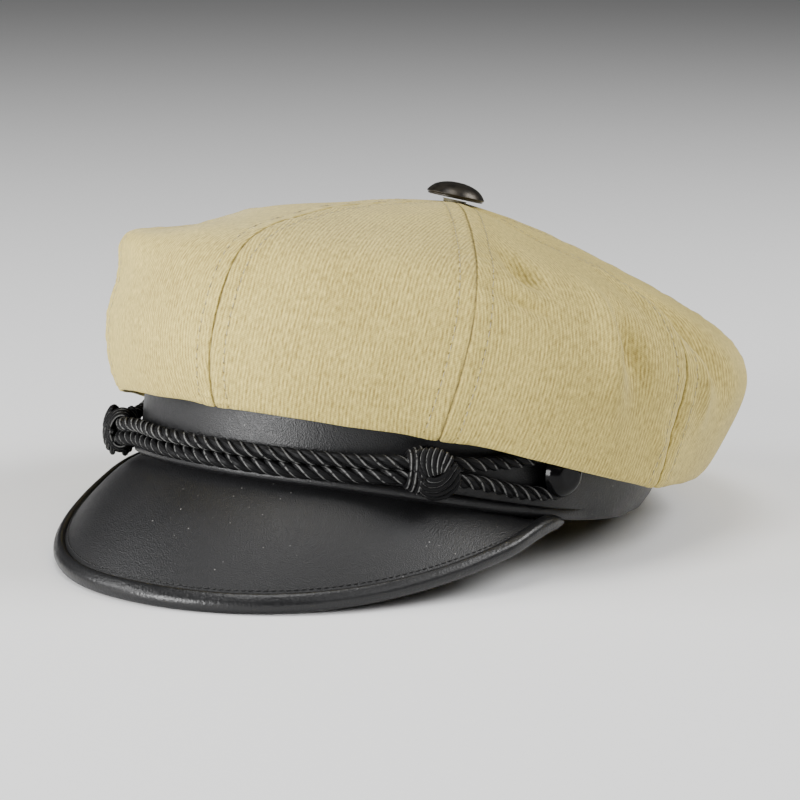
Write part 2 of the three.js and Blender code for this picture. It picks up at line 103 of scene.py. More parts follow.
def blend(a: Any, b: Any, share: Any) -> Any:
    """A value that is a at share 0 and b at share 1."""
    return a + (b - a) * share


def unit(vectors: Places) -> Places:
    """The vectors at length 1."""
    return vectors / np.maximum(np.linalg.norm(vectors, axis=-1, keepdims=True), 1e-12)


def columns_of(*parts: Any) -> Places:
    """Stacks coordinates, numbers or arrays alike, as the columns of one array."""
    return np.stack(np.broadcast_arrays(*parts), axis=-1).astype(float)


def spline(points: Places, shares: np.ndarray, closed: bool = False) -> Places:
    """Points on a smooth curve through chosen points.

    Args:
        points: the points that the curve passes, one a row.
        shares: places along the curve, from 0 at its start to 1 at its end.
        closed: whether the last point joins the first.

    Returns:
        One point a row for each share.
    """
    count = len(points)
    if closed:
        padded = np.vstack([points[-1], points, points[:2]])
        spans = count
    else:
        padded = np.vstack([2 * points[0] - points[1], points, 2 * points[-1] - points[-2]])
        spans = count - 1
    place = np.clip(shares, 0, 1) * spans
    span = np.minimum(place.astype(int), spans - 1)
    local = (place - span)[:, None]
    before, start, end, after = (padded[span + k] for k in range(4))
    steps = [
        np.maximum(np.linalg.norm(b - a, axis=1, keepdims=True), 1e-9) ** 0.5
        for a, b in ((before, start), (start, end), (end, after))
    ]
    leave = steps[1] * (
        (start - before) / steps[0] - (end - before) / (steps[0] + steps[1]) + (end - start) / steps[1]
    )
    arrive = steps[1] * (
        (end - start) / steps[1] - (after - start) / (steps[1] + steps[2]) + (after - end) / steps[2]
    )
    square, cube = local**2, local**3
    return (
        (2 * cube - 3 * square + 1) * start
        + (cube - 2 * square + local) * leave
        + (3 * square - 2 * cube) * end
        + (cube - square) * arrive
    )


def travelled(line: Places) -> np.ndarray:
    """Distance along a line from its first point to each of its points."""
    steps = np.linalg.norm(np.diff(line, axis=0), axis=1)
    return np.concatenate([[0], np.cumsum(steps)])


def even_shares(points: Places, count: int) -> np.ndarray:
    """Shares that space points evenly round a closed spline.

    Args:
        points: the points that the spline passes.
        count: how many steps it is cut into.

    Returns:
        One share for each step's start, and 1.
    """
    fine = np.linspace(0, 1, 40 * len(points) + 1)
    distances = travelled(spline(points, fine, closed=True))
    targets = np.linspace(0, distances[-1], count, endpoint=False)
    return np.append(np.interp(targets, distances, fine), 1.0)


def length_of(points: Places) -> float:
    """Length of the line through some points."""
    return float(np.linalg.norm(np.diff(points, axis=0), axis=1).sum())


@dataclass(frozen=True)
class CapFrame:
    """The band's own frame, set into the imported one."""

    matrix: Matrix

    @classmethod
    def of_band(cls, band: bpy.types.Object, height: float) -> CapFrame:
        """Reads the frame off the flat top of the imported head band.

        Args:
            band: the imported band.
            height: the band's height in millimetres.

        Returns:
            The frame, which turns millimetres into metres.
        """
        areas: dict[tuple[float, ...], float] = {}
        for polygon in band.data.polygons:
            if polygon.normal.z > 0.9:
                key = tuple(round(part, 4) for part in polygon.normal)
                areas[key] = areas.get(key, 0) + polygon.area
        upwards = max(areas, key=lambda key: areas[key])
        turn = Matrix.Rotation(-math.atan2(upwards[1], upwards[2]), 4, "X")
        points = [turn.inverted() @ vertex.co for vertex in band.data.vertices]
        top = max(point.z for point in points)
        rim = [point for point in points if point.z > top - 0.05 * MM]
        middle = [(min(p[k] for p in rim) + max(p[k] for p in rim)) / 2 for k in range(2)]
        centre = Vector((*middle, top - height * MM))
        return cls(turn @ Matrix.Translation(centre) @ Matrix.Scale(MM, 4))

    def place(self, points: Places) -> Places:
        """Millimetres in the band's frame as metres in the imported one."""
        rows = np.array(self.matrix)
        return points @ rows[:3, :3].T + rows[:3, 3]


@dataclass(frozen=True)
class Value:
    """A socket of numbers, on which plain arithmetic adds Math nodes."""

    graph: Graph
    socket: bpy.types.NodeSocket

    def __add__(self, other: Value | float) -> Value:
        """Adds."""
        return self.graph.math("ADD", self, other)

    def __radd__(self, other: float) -> Value:
        """Adds to a number."""
        return self.graph.math("ADD", other, self)

    def __sub__(self, other: Value | float) -> Value:
        """Subtracts."""
        return self.graph.math("SUBTRACT", self, other)

    def __rsub__(self, other: float) -> Value:
        """Subtracts from a number."""
        return self.graph.math("SUBTRACT", other, self)

    def __mul__(self, other: Value | float) -> Value:
        """Multiplies."""
        return self.graph.math("MULTIPLY", self, other)

    def __rmul__(self, other: float) -> Value:
        """Multiplies a number."""
        return self.graph.math("MULTIPLY", other, self)

    def __truediv__(self, other: Value | float) -> Value:
        """Divides."""
        return self.graph.math("DIVIDE", self, other)

    def __lt__(self, other: Value | float) -> Value:
        """1 where the value is less, and 0 elsewhere."""
        return self.graph.math("LESS_THAN", self, other)


class Graph:
    """A material's node tree, with short ways to add to it."""

    def __init__(self, name: str) -> None:
        """Starts a material.

        Args:
            name: the material's name.
        """
        self.material = bpy.data.materials.new(name)
        self.material.use_nodes = True
        self.tree = self.material.node_tree
        self.tree.nodes.clear()

    def add(
        self,
        kind: str,
        settings: Mapping[str, Any] | None = None,
        inputs: Mapping[str | int, Any] | None = None,
    ) -> bpy.types.Node:
        """Adds one node.

        Args:
            kind: the node's type.
            settings: what is set on the node first.
            inputs: a value or a socket for each named or numbered socket.

        Returns:
            The node.
        """
        node = self.tree.nodes.new(kind)
        for name, setting in (settings or {}).items():
            setattr(node, name, setting)
        for name, given in (inputs or {}).items():
            socket = node.inputs[name]
            if isinstance(given, Value):
                given = given.socket
            if isinstance(given, bpy.types.NodeSocket):
                self.tree.links.new(given, socket)
            else:
                socket.default_value = given
        return node

    def value(self, node: bpy.types.Node, output: str | int = 0) -> Value:
        """One of a node's outputs, ready for arithmetic."""
        return Value(self, node.outputs[output])

    def math(self, operation: str, *inputs: Value | float, clamp: bool = False) -> Value:
        """Adds a Math node on one, two or three values."""
        settings = {"operation": operation, "use_clamp": clamp}
        return self.value(self.add("ShaderNodeMath", settings, dict(enumerate(inputs))))

    def wave(self, phase: Value) -> Value:
        """Goes smoothly between 0 and 1 as the phase grows, once every full turn."""
        return self.math("SINE", phase) * 0.5 + 0.5

    def step(self, value: Value, low: float, high: float, start: float = 0, end: float = 1) -> Value:
        """Goes smoothly from one result to another.

        Args:
            value: what is read.
            low: the value at which the change starts.
            high: the value at which it ends.
            start: the result at low and below it.
            end: the result at high and above it.

        Returns:
            The result.
        """
        settings = {"interpolation_type": "SMOOTHSTEP"}
        names = ("Value", "From Min", "From Max", "To Min", "To Max")
        inputs = dict(zip(names, (value, low, high, start, end)))
        return self.value(self.add("ShaderNodeMapRange", settings, inputs))

    def colors(self, factor: Value | float, a: Any, b: Any) -> bpy.types.NodeSocket:
        """Mixes two colours.

        Args:
            factor: 0 for the first colour and 1 for the second.
            a: the first colour, a tuple or a socket.
            b: the second one.

        Returns:
            The mixed colour's socket.
        """
        settings = {"data_type": "RGBA"}
        tints = [(*tint, 1) if isinstance(tint, tuple) else tint for tint in (a, b)]
        node = self.add("ShaderNodeMix", settings, {0: factor, 6: tints[0], 7: tints[1]})
        return node.outputs[2]

    def place(self) -> bpy.types.NodeSocket:
        """The piece's own coordinates, in metres."""
        return self.add("ShaderNodeTexCoord").outputs["Object"]

    def chart(self, name: str) -> tuple[Value, Value, bpy.types.NodeSocket]:
        """Reads one of the piece's UV maps.

        Args:
            name: the map's name.

        Returns:
            Its two coordinates as values, and both as a vector.
        """
        chart = self.add("ShaderNodeUVMap", {"uv_map": name}).outputs["UV"]
        split = self.add("ShaderNodeSeparateXYZ", {}, {0: chart})
        return self.value(split, "X"), self.value(split, "Y"), chart

    def scaled(self, vector: bpy.types.NodeSocket, scale: tuple[float, float, float]) -> Any:
        """A vector multiplied part by part."""
        node = self.add("ShaderNodeVectorMath", {"operation": "MULTIPLY"}, {0: vector, 1: scale})
        return node.outputs[0]

    def noise(self, vector: Any, scale: float, detail: float = 2, rough: float = 0.5) -> Value:
        """Smooth noise from about 0.3 to 0.7, with scale in repeats a metre."""
        inputs = {"Vector": vector, "Scale": scale, "Detail": detail, "Roughness": rough}
        return self.value(self.add("ShaderNodeTexNoise", {}, inputs), "Fac")

    def cells(self, vector: Any, scale: float) -> bpy.types.Node:
        """A Voronoi pattern, with scale in cells a metre."""
        return self.add("ShaderNodeTexVoronoi", {}, {"Vector": vector, "Scale": scale})

    def bump(self, height: Value, depth: float, under: Any = None) -> bpy.types.NodeSocket:
        """A bumped normal.

        Args:
            height: the relief, from 0 to 1.
            depth: how deep that is, in metres.
            under: the normal of a coarser relief, if any.

        Returns:
            The normal.
        """
        inputs: dict[str, Any] = {"Height": height, "Distance": depth, "Strength": 1.0}
        if under is not None:
            inputs["Normal"] = under
        return self.add("ShaderNodeBump", {}, inputs).outputs[0]

    def surface(self, inputs: Mapping[str, Any]) -> bpy.types.Material:
        """Ends the tree with one Principled shader.

        Args:
            inputs: a value or a socket for each of the shader's named sockets.

        Returns:
            The material.
        """
        shader = self.add("ShaderNodeBsdfPrincipled", {}, inputs)
        output = self.add("ShaderNodeOutputMaterial")
        self.tree.links.new(shader.outputs[0], output.inputs[0])
        return self.material


@dataclass(frozen=True)
class Twill:
    """Khaki cotton twill: ribs along each panel, with painted shade in the seams' ditches and the
    topstitching's holes.
    """

    light: tuple[float, float, float] = (0.68, 0.55, 0.165)
    dark: tuple[float, float, float] = (0.28, 0.21, 0.055)
    # Painted shade: the dark colour mixed into the seam ditches and the stitch holes.
    recess_shade: tuple[float, float, float] = (0.1, 0.075, 0.03)
    rib: float = 1.28 * MM
    rib_depth: float = 0.15 * MM
    rib_wander: float = 1.7
    rib_tone: float = 0.36
    thread_tone: float = 2.0
    slub_tone: float = 0.5
    weft: float = 0.75 * MM
    weft_slope: float = 5200
    weft_tone: float = 0.2
    mottle_tone: float = 0.5
    own_tone: float = 0.2
    # How far the painted shade darkens the seam ditches and the stitch holes.
    recess_shade_share: float = 0.5
    crease_depth: float = 0.3 * MM

    def material(self) -> bpy.types.Material:
        """Builds the material, which reads the panels' cloth and seam charts.

        Returns:
            The material.
        """
        graph = Graph("khaki_twill")
        across, along, cloth = graph.chart("cloth")
        wander = graph.noise(graph.scaled(cloth, (1, 0.35, 1)), 260, 3) - 0.5
        rib = graph.wave(across * (2 * math.pi / self.rib) + wander * self.rib_wander)
        thread = graph.noise(graph.scaled(cloth, (1, 0.28, 1)), 1500, 2, 0.7)
        slub = graph.noise(graph.scaled(cloth, (1, 0.12, 1)), 700, 2)
        weft = graph.wave(along * (2 * math.pi / self.weft) + across * self.weft_slope)
        mottle = graph.noise(graph.place(), 22, 3, 0.6)
        tone = rib * self.rib_tone + (thread - 0.5) * self.thread_tone + (slub - 0.5) * self.slub_tone
        tone = tone + weft * self.weft_tone + self.own_tone
        tone = graph.math("ADD", tone, (mottle - 0.5) * self.mottle_tone, clamp=True)
        color = graph.colors(tone, self.dark, self.light)

        # Painted shade: the seam ditch, broken into dashes, and the topstitching's holes are mixed
        # towards the dark colour, as shade in these recesses.
        off_seam, down_seam, chart = graph.chart("seam")
        ditch = graph.step(off_seam, 0.12 * MM, 0.5 * MM, 1, 0)
        dashes = graph.noise(graph.scaled(chart, (0, 1, 0)), 420, 2)
        ditch = ditch * graph.step(dashes, 0.36, 0.6, 0.5, 1)
        pitch = STITCH_PITCH * MM
        from_hole = (graph.math("FRACT", down_seam / pitch) - 0.5) * pitch
        from_row = off_seam - STITCH_OFF * MM
        apart = graph.math("SQRT", from_hole * from_hole + from_row * from_row)
        hole = graph.step(apart, 0.16 * MM, 0.5 * MM, 1, 0)
        color = graph.colors(ditch * self.recess_shade_share, color, self.recess_shade)
        color = graph.colors(hole * self.recess_shade_share, color, self.recess_shade)

        normal = graph.bump(rib * 0.55 + thread * 0.45 + weft * 0.15, self.rib_depth)
        normal = graph.bump(1 - graph.math("MAXIMUM", hole, ditch), self.crease_depth, normal)
        return graph.surface(
            {
                "Base Color": color,
                "Roughness": 0.92,
                "Specular IOR Level": 0.25,
                "Sheen Weight": 0.12,
                "Sheen Roughness": 0.5,
                "Normal": normal,
            }
        )


@dataclass(frozen=True)
class Leather:
    """Black leather with a fine grain, a satin face and a little dust."""

    name: str = "black_leather"
    color: tuple[float, float, float] = (0.0055, 0.0055, 0.006)
    dust: tuple[float, float, float] = (0.4, 0.39, 0.37)
    grain: float = 2100
    depth: float = 0.13 * MM
    roughness: float = 0.45
    dusty: float = 0.6
    specks: float = 900
    speck_share: float = 0.035

    def material(self) -> bpy.types.Material:
        """Builds the material on the piece's own coordinates.

        Returns:
            The material.
        """
        graph = Graph(self.name)
        place = graph.place()
        pores = graph.value(graph.cells(place, self.grain), "Distance")
        creases = graph.noise(place, 520, 4, 0.65)
        wide = graph.noise(place, 38, 3)
        specks = graph.cells(place, self.specks)
        drawn = graph.value(graph.add("ShaderNodeSeparateColor", {}, {0: specks.outputs["Color"]}), 0)
        near = graph.step(graph.value(specks, "Distance"), 0.1, 0.3, 1, 0)
        drifts = graph.step(graph.noise(place, 30, 2), 0.45, 0.7)
        mask = near * (drawn < self.speck_share) * drifts * self.dusty
        pale = tuple(1.5 * part for part in self.color)
        color = graph.colors(mask, graph.colors(wide, self.color, pale), self.dust)
        rough = (wide - 0.5) * 0.16 + (creases - 0.5) * 0.25 + mask * 0.3 + self.roughness
        normal = graph.bump(pores * 0.7 + creases * 0.8, self.depth)
        return graph.surface(
            {
                "Base Color": color,
                "Roughness": rough,
                "Specular IOR Level": 0.4,
                "Normal": normal,
            }
        )


@dataclass(frozen=True)
class Rayon:
    """The cord's shiny black yarn, with a painted highlight: a pale line along each ply's crown."""

    color: tuple[float, float, float] = (0.004, 0.004, 0.0042)
    # The colour of the painted highlight along each ply's crown.
    pale: tuple[float, float, float] = (0.12, 0.12, 0.117)
    highlight_at: float = 0.1
    highlight_half: float = 0.028
    yarns: int = 9
    yarn_slope: float = 90

    def material(self) -> bpy.types.Material:
        """Builds the material, which reads the cord's ply chart.

        Returns:
            The material.
        """
        graph = Graph("black_cord")
        around, along, _ = graph.chart("ply")
        lines = graph.wave((around + along * self.yarn_slope) * (2 * math.pi * self.yarns))
        fuzz = graph.noise(graph.place(), 2600, 2)
        broken = graph.noise(graph.place(), 700, 2)
        # Painted highlight: a pale line at one place round each ply, broken up by noise, stands in for
        # the light that each ply's crown catches.
        off = graph.math("ABSOLUTE", around - self.highlight_at)
        thread = graph.step(off, self.highlight_half, self.highlight_half * 1.7, 1, 0)
        glint = tuple(2.5 * part for part in self.color)
        black = graph.colors(lines * 0.5 + fuzz * 0.4, self.color, glint)
        color = graph.colors(thread * graph.step(broken, 0.3, 0.55), black, self.pale)
        normal = graph.bump(lines * 0.4 + fuzz * 0.4 + thread, 0.12 * MM)
        return graph.surface(
            {
                "Base Color": color,
                "Roughness": (fuzz - 0.5) * 0.2 + 0.42,
                "Specular IOR Level": 0.07,
                "Normal": normal,
            }
        )


@dataclass(frozen=True)
class Lacquer:
    """A smooth hard finish: the buttons' and the shank's."""

    name: str
    color: tuple[float, float, float]
    roughness: float
    metallic: float = 0.0
    worn: tuple[float, float, float] | None = None
    specular: float = 0.5

    def material(self) -> bpy.types.Material:
        """Builds the material, with faint scuffs and, where it is worn, a second colour.

        Returns:
            The material.
        """
        graph = Graph(self.name)
        place = graph.place()
        scuffs = graph.noise(place, 900, 3, 0.7)
        patches = graph.step(graph.noise(place, 260, 4, 0.7), 0.42, 0.62)
        worn = self.worn or tuple(1.4 * part for part in self.color)
        return graph.surface(
            {
                "Base Color": graph.colors(patches, self.color, worn),
                "Metallic": self.metallic,
                "Specular IOR Level": self.specular,
                "Roughness": (scuffs - 0.5) * 0.25 + self.roughness,
                "Normal": graph.bump(scuffs, 0.015 * MM),
            }
        )


@dataclass(frozen=True)
class Thread:
    """Sewing thread."""

    name: str
    color: tuple[float, float, float]

    def material(self) -> bpy.types.Material:
        """Builds the material.

        Returns:
            The material.
        """
        graph = Graph(self.name)
        strands = graph.noise(graph.place(), 3000, 2)
        color = graph.colors(strands, self.color, tuple(0.6 * part for part in self.color))
        return graph.surface(
            {"Base Color": color, "Roughness": 0.7, "Normal": graph.bump(strands, 0.08 * MM)}
        )


def sheet(
    columns: int,
    rows: int,
    shape: Shape,
    cap: CapFrame,
    charts: Mapping[str, Callable[[np.ndarray, np.ndarray], Places]] | None = None,
) -> bmesh.types.BMesh:
    """A grid whose corners are laid on a shape.

    Args:
        columns: faces across.
        rows: faces along.
        shape: turns shares across and along into millimetres in the band's frame.
        cap: the band's frame.
        charts: for each UV map, what turns the same shares into the map's coordinates.

    Returns:
        The mesh, in metres, with doubles merged where the shape closes on itself.
    """
    mesh = bmesh.new()
    bmesh.ops.create_grid(mesh, x_segments=columns, y_segments=rows, size=1)
    flat = np.array([vertex.co[:2] for vertex in mesh.verts])
    low, high = flat.min(axis=0), flat.max(axis=0)
    across, along = ((flat - low) / (high - low)).T
    for vertex, place in zip(mesh.verts, cap.place(shape(across, along))):
        vertex.co = place
    mesh.verts.index_update()
    for name, chart in (charts or {}).items():
        layer = mesh.loops.layers.uv.new(name)
        places = chart(across, along)
        for face in mesh.faces:
            for loop in face.loops:
                loop[layer].uv = places[loop.vert.index]
    bmesh.ops.remove_doubles(mesh, verts=mesh.verts, dist=0.2e-6)
    return mesh


def faced(mesh: bmesh.types.BMesh, outwards: Callable[[Vector], Vector] | None = None) -> None:
    """Turns a mesh's faces outwards.

    Args:
        mesh: the mesh.
        outwards: for an open sheet, the outward direction near a point.
    """
    bmesh.ops.recalc_face_normals(mesh, faces=mesh.faces)
    if outwards is None:
        return
    mesh.normal_update()
    votes = sum(f.calc_area() * f.normal.dot(outwards(f.calc_center_median())) for f in mesh.faces)
    if votes < 0:
        bmesh.ops.reverse_faces(mesh, faces=mesh.faces)


def finished(
    name: str,
    mesh: bmesh.types.BMesh,
    material: bpy.types.Material,
    nodes: Sequence[str] = (),
) -> bpy.types.Object:
    """Makes a mesh a piece that rides on the cap.

    Args:
        name: the piece's name.
        mesh: its mesh, which is freed.
        material: its finish.
        nodes: the CAD nodes that it stands for.

    Returns:
        The piece.
    """
    data = bpy.data.meshes.new(name)
    mesh.to_mesh(data)
    mesh.free()
    data.polygons.foreach_set("use_smooth", [True] * len(data.polygons))
    data.materials.append(material)
    piece = bpy.data.objects.new(name, data)
    bpy.context.scene.collection.objects.link(piece)
    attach(piece, ROOT)
    if nodes:
        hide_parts(*nodes)
    log.info("%s: %d faces", name, len(data.polygons))
    return piece


def thicken(piece: bpy.types.Object, wall: float, offset: float) -> None:
    """Gives a sheet its thickness by a Solidify modifier.

    Args:
        piece: the sheet.
        wall: the thickness in millimetres.
        offset: -1 for a wall inside the sheet, and 0 for one on both of its sides.
    """
    modifier = piece.modifiers.new("wall", "SOLIDIFY")
    modifier.thickness = wall * MM
    modifier.offset = offset
    modifier.use_even_offset = False


def joined(parts: Sequence[bmesh.types.BMesh]) -> bmesh.types.BMesh:
    """Puts several meshes into one.

    Args:
        parts: the meshes, which are freed.

    Returns:
        The new mesh.
    """
    whole = bmesh.new()
    for part in parts:
        data = bpy.data.meshes.new("part")
        part.to_mesh(data)
        part.free()
        whole.from_mesh(data)
        bpy.data.meshes.remove(data)
    return whole


def capsules(starts: Places, ends: Places, radius: float, cap: CapFrame) -> bmesh.types.BMesh:
    """Short round-ended threads.

    Args:
        starts: each thread's first end, in millimetres.
        ends: each thread's other end.
        radius: the threads' radius.
        cap: the band's frame.

    Returns:
        All the threads in one mesh.
    """
    shape = bmesh.new()
    bmesh.ops.create_uvsphere(shape, u_segments=6, v_segments=6, radius=1)
    data = bpy.data.meshes.new("thread")
    shape.to_mesh(data)
    shape.free()
    whole = bmesh.new()
    for start, end in zip(cap.place(starts), cap.place(ends)):
        span = Vector(end - start)
        turn = Vector((0, 0, 1)).rotation_difference(span).to_matrix().to_4x4()
        size = Matrix.Diagonal((radius * MM, radius * MM, span.length / 2, 1))
        place = Matrix.Translation(Vector((start + end) / 2)) @ turn @ size
        data.transform(place)
        whole.from_mesh(data)
        data.transform(place.inverted())
    bpy.data.meshes.remove(data)
    return whole


def stitches_along(line: Places, pitch: float, share: float) -> tuple[Places, Places]:
    """Spaces stitches along a line.

    Args:
        line: the line's points.
        pitch: the distance from stitch to stitch.
        share: how much of the pitch a stitch takes up.

    Returns:
        The stitches' first ends and their other ends.
    """
    distances = travelled(line)
    starts = (np.arange(int(distances[-1] / pitch)) + (1 - share) / 2) * pitch
    return tuple(
        np.stack([np.interp(at, distances, line[:, k]) for k in range(3)], axis=1)
        for at in (starts, starts + share * pitch)
    )


@dataclass
class Band:
    """The leather head band, with a rolled lip over the peak."""

    half_length: float = 102.8
    half_width: float = 84.3
    height: float = 32
    wall: float = 3
    arch: float = 7.8
    lip_out: float = 1.9
    lip_height: float = 3.3
    flare: float = 1.6
    flare_at: float = 0.985
    flare_width: float = 0.05
    tuck: float = 5
    tuck_from: tuple[float, float] = (92, 112)
    tuck_to: tuple[float, float] = (140, 165)
    hang: float = 3.6

    def normal(self, turn: Any) -> Places:
        """Outward direction at an angle from the front, in radians."""
        return unit(columns_of(np.sin(turn) / self.half_width, -np.cos(turn) / self.half_length, 0))

    def point(self, turn: Any, out: Any, z: Any) -> Places:
        """A point at an angle from the front, at a distance outside the wall, at a height."""
        wall = columns_of(self.half_width * np.sin(turn), -self.half_length * np.cos(turn), z)
        return wall + self.normal(turn) * np.asarray(out, float)[..., None]

    def edge(self, turn: Any) -> np.ndarray:
        """Height of the lower edge, which arches over the brow."""
        ahead = np.cos(turn) > 0
        return np.where(ahead, self.arch * (1 - np.sin(turn) ** 4), 0)

    def section(self, turn: np.ndarray, around: np.ndarray) -> Places:
        """Points of the wall's closed section: up inside, over the top and down to the lip.

        Each row of its table gives a share of the way round the section, the distance outside the
        wall, as a share of lip_out where it is more than 0, the height, and how much of the flare
        and of the hang is felt there.

        Args:
            turn: angles from the front, in radians.
            around: shares of the way round the section.

        Returns:
            The points.
        """
        ahead = smoothstep(np.cos(turn), 0.06, 0.34)
        lip = self.lip_out * ahead
        tall = self.lip_height
        side = np.exp(-(((np.abs(np.sin(turn)) - self.flare_at) / self.flare_width) ** 2)) * ahead
        rows = [
            (0.0, -self.wall, self.height - 1, 0.0, 0.0),
            (0.05, -self.wall + 0.6, self.height, 0.0, 0.0),
            (0.1, -0.6, self.height, 0.0, 0.0),
            (0.14, 0.0, self.height - 1, 0.0, 0.0),
            (0.3, 0.0, 21.0, 0.1, 0.0),
            (0.42, 0.0, 10.0, 0.6, 0.0),
            (0.52, 0.0, tall + 1.6, 1.0, 0.0),
            (0.555, 0.05, tall + 0.35, 1.0, 0.0),
            (0.58, 0.55, tall, 1.0, 0.0),
            (0.61, 0.92, tall * 0.72, 1.0, 0.0),
            (0.64, 1.0, tall * 0.42, 1.0, 0.0),
            (0.67, 0.8, tall * 0.12, 0.9, 0.0),
            (0.7, 0.35, 0.0, 0.7, 0.0),
            (0.74, -self.wall * 0.8, 0.0, 0.1, 0.8),
            (0.78, -self.wall, 0.8, 0.0, 1.0),
            (0.82, -self.wall, 4.0, 0.0, 0.4),
            (1.0, -self.wall, self.height - 1, 0.0, 0.0),
        ]
        shares, outs, heights, flares, hangs = (np.array(column) for column in zip(*rows))
        in_lip = (np.interp(around, shares, (outs > 0).astype(float)) > 0) & (around > 0.5)
        out = np.interp(around, shares, outs) * np.where(in_lip, lip, 1)
        out = out + np.interp(around, shares, flares) * self.flare * side
        low = np.interp(around, shares, heights)
        rise = self.edge(turn) * (1 - smoothstep(low, 3, 26))
        from_front = np.abs(np.degrees(np.arctan2(np.sin(turn), np.cos(turn))))
        tucked = smoothstep(from_front, *self.tuck_from) * (1 - smoothstep(from_front, *self.tuck_to))
        out = out - self.tuck * tucked * (1 - smoothstep(low, -3, 11)) ** 1.5
        hang = np.interp(around, shares, hangs) * self.hang * smoothstep(np.cos(turn), 0.2, 0.4)
        return self.point(turn, out, low + rise - hang)

    def build(self, cap: CapFrame, leather: bpy.types.Material) -> None:
        """Makes the band.

        Args:
            cap: the band's frame.
            leather: its finish.
        """

        def shape(across: np.ndarray, along: np.ndarray) -> Places:
            """Lays shares across on the oval and shares along on the section."""
            return self.section(across * 2 * math.pi, along)

        mesh = sheet(240, 90, shape, cap)
        faced(mesh)
        finished("leather_band", mesh, leather, ["head_band"])


@dataclass(frozen=True)
class CrownRow:
    """One meridian of the crown's net of control points.

    turn is in degrees from the front seam towards the wearer's left, and swing is how far the row
    has turned towards the front where it meets the hem. A field ending in out is a share of the
    distance from the crest's axis to the widest outline, and one ending in rise is a share of the
    crown's height.
    """

    turn: float
    swing: float
    top_rise: float
    brim_rise: float
    shoulder_out: float
    shoulder_rise: float
    side_out: float
    side_rise: float
    wall_out: float
    wall_rise: float
    hem_out: float
    hem_rise: float


CROWN_ROWS = (
    CrownRow(0, 0, 0.98, 0.92, 0.92, 0.847, 0.98, 0.668, 1.02, 0.465, 0.965, 0.296),
    CrownRow(20, 2, 0.99, 0.915, 0.91, 0.842, 0.965, 0.66, 0.99, 0.445, 0.955, 0.264),
    CrownRow(39, 4.5, 0.99, 0.9, 0.91, 0.832, 0.965, 0.638, 0.97, 0.425, 0.925, 0.255),
    CrownRow(62, 3.5, 0.95, 0.85, 0.91, 0.772, 1, 0.58, 0.995, 0.366, 0.935, 0.158),
    CrownRow(84, 0.8, 0.875, 0.795, 0.89, 0.685, 1.01, 0.51, 0.96, 0.31, 0.93, 0.055),
    CrownRow(108, 0, 0.895, 0.758, 0.92, 0.654, 1.02, 0.495, 0.965, 0.31, 0.89, 0.085),
    CrownRow(131, 0, 0.91, 0.73, 0.93, 0.63, 1.03, 0.477, 0.96, 0.31, 0.88, 0.09),
    CrownRow(156, 0, 0.91, 0.728, 0.92, 0.625, 1.02, 0.465, 0.99, 0.287, 0.89, 0.085),
    CrownRow(180, 0, 0.91, 0.733, 0.92, 0.624, 1.02, 0.465, 1, 0.277, 0.9, 0.08),
)


@dataclass(frozen=True)
class Fold:
    """A ridge of the crown, or a dent where its rise is negative.

    panel counts panels round from the front seam towards the wearer's left, and down runs from 0
    at the crest to 1 at the band. across is a share of a panel's width and along of the way down,
    lean is how far the fold has moved round by one of its own lengths, and rise is in millimetres.
    """

    panel: float
    down: float
    across: float
    along: float
    lean: float
    rise: float


FOLDS = (
    Fold(1.22, 0.29, 0.07, 0.05, 0.05, -5.4),
    Fold(1.19, 0.38, 0.09, 0.022, 0.08, -2.7),
    Fold(1.59, 0.41, 0.06, 0.1, 0.03, 4.4),
    Fold(1.68, 0.42, 0.08, 0.075, 0.03, -6),
    Fold(1.95, 0.3, 0.07, 0.1, 0.02, 2.5),
    Fold(2.12, 0.31, 0.11, 0.1, 0.1, -7.6),
    Fold(2.13, 0.45, 0.05, 0.07, 0.04, 3),
    Fold(2.3, 0.42, 0.1, 0.08, 0.05, -4.2),
    Fold(2, 0.53, 0.035, 0.09, 0, -1.8),
    Fold(1.92, 0.57, 0.05, 0.03, 0.04, 1.2),
    Fold(3.5, 0.3, 0.3, 0.08, 0, -2.5),
    Fold(4.6, 0.4, 0.2, 0.12, 0.1, -2.5),
    Fold(5.5, 0.3, 0.25, 0.1, 0, -3),
    Fold(6.4, 0.69, 0.4, 0.07, 0, -2.8),
    Fold(6.98, 0.445, 0.35, 0.045, 0, -1.4),
    Fold(7.02, 0.365, 0.35, 0.035, 0, 3.4),
    Fold(7.1, 0.255, 0.45, 0.065, 0, -4.4),
    Fold(7.1, 0.12, 0.4, 0.05, 0, -2.2),
    Fold(2, 0.1, 0.25, 0.04, 0, -1.3),
    Fold(2, 0.21, 0.15, 0.04, 0, 1.2),
)


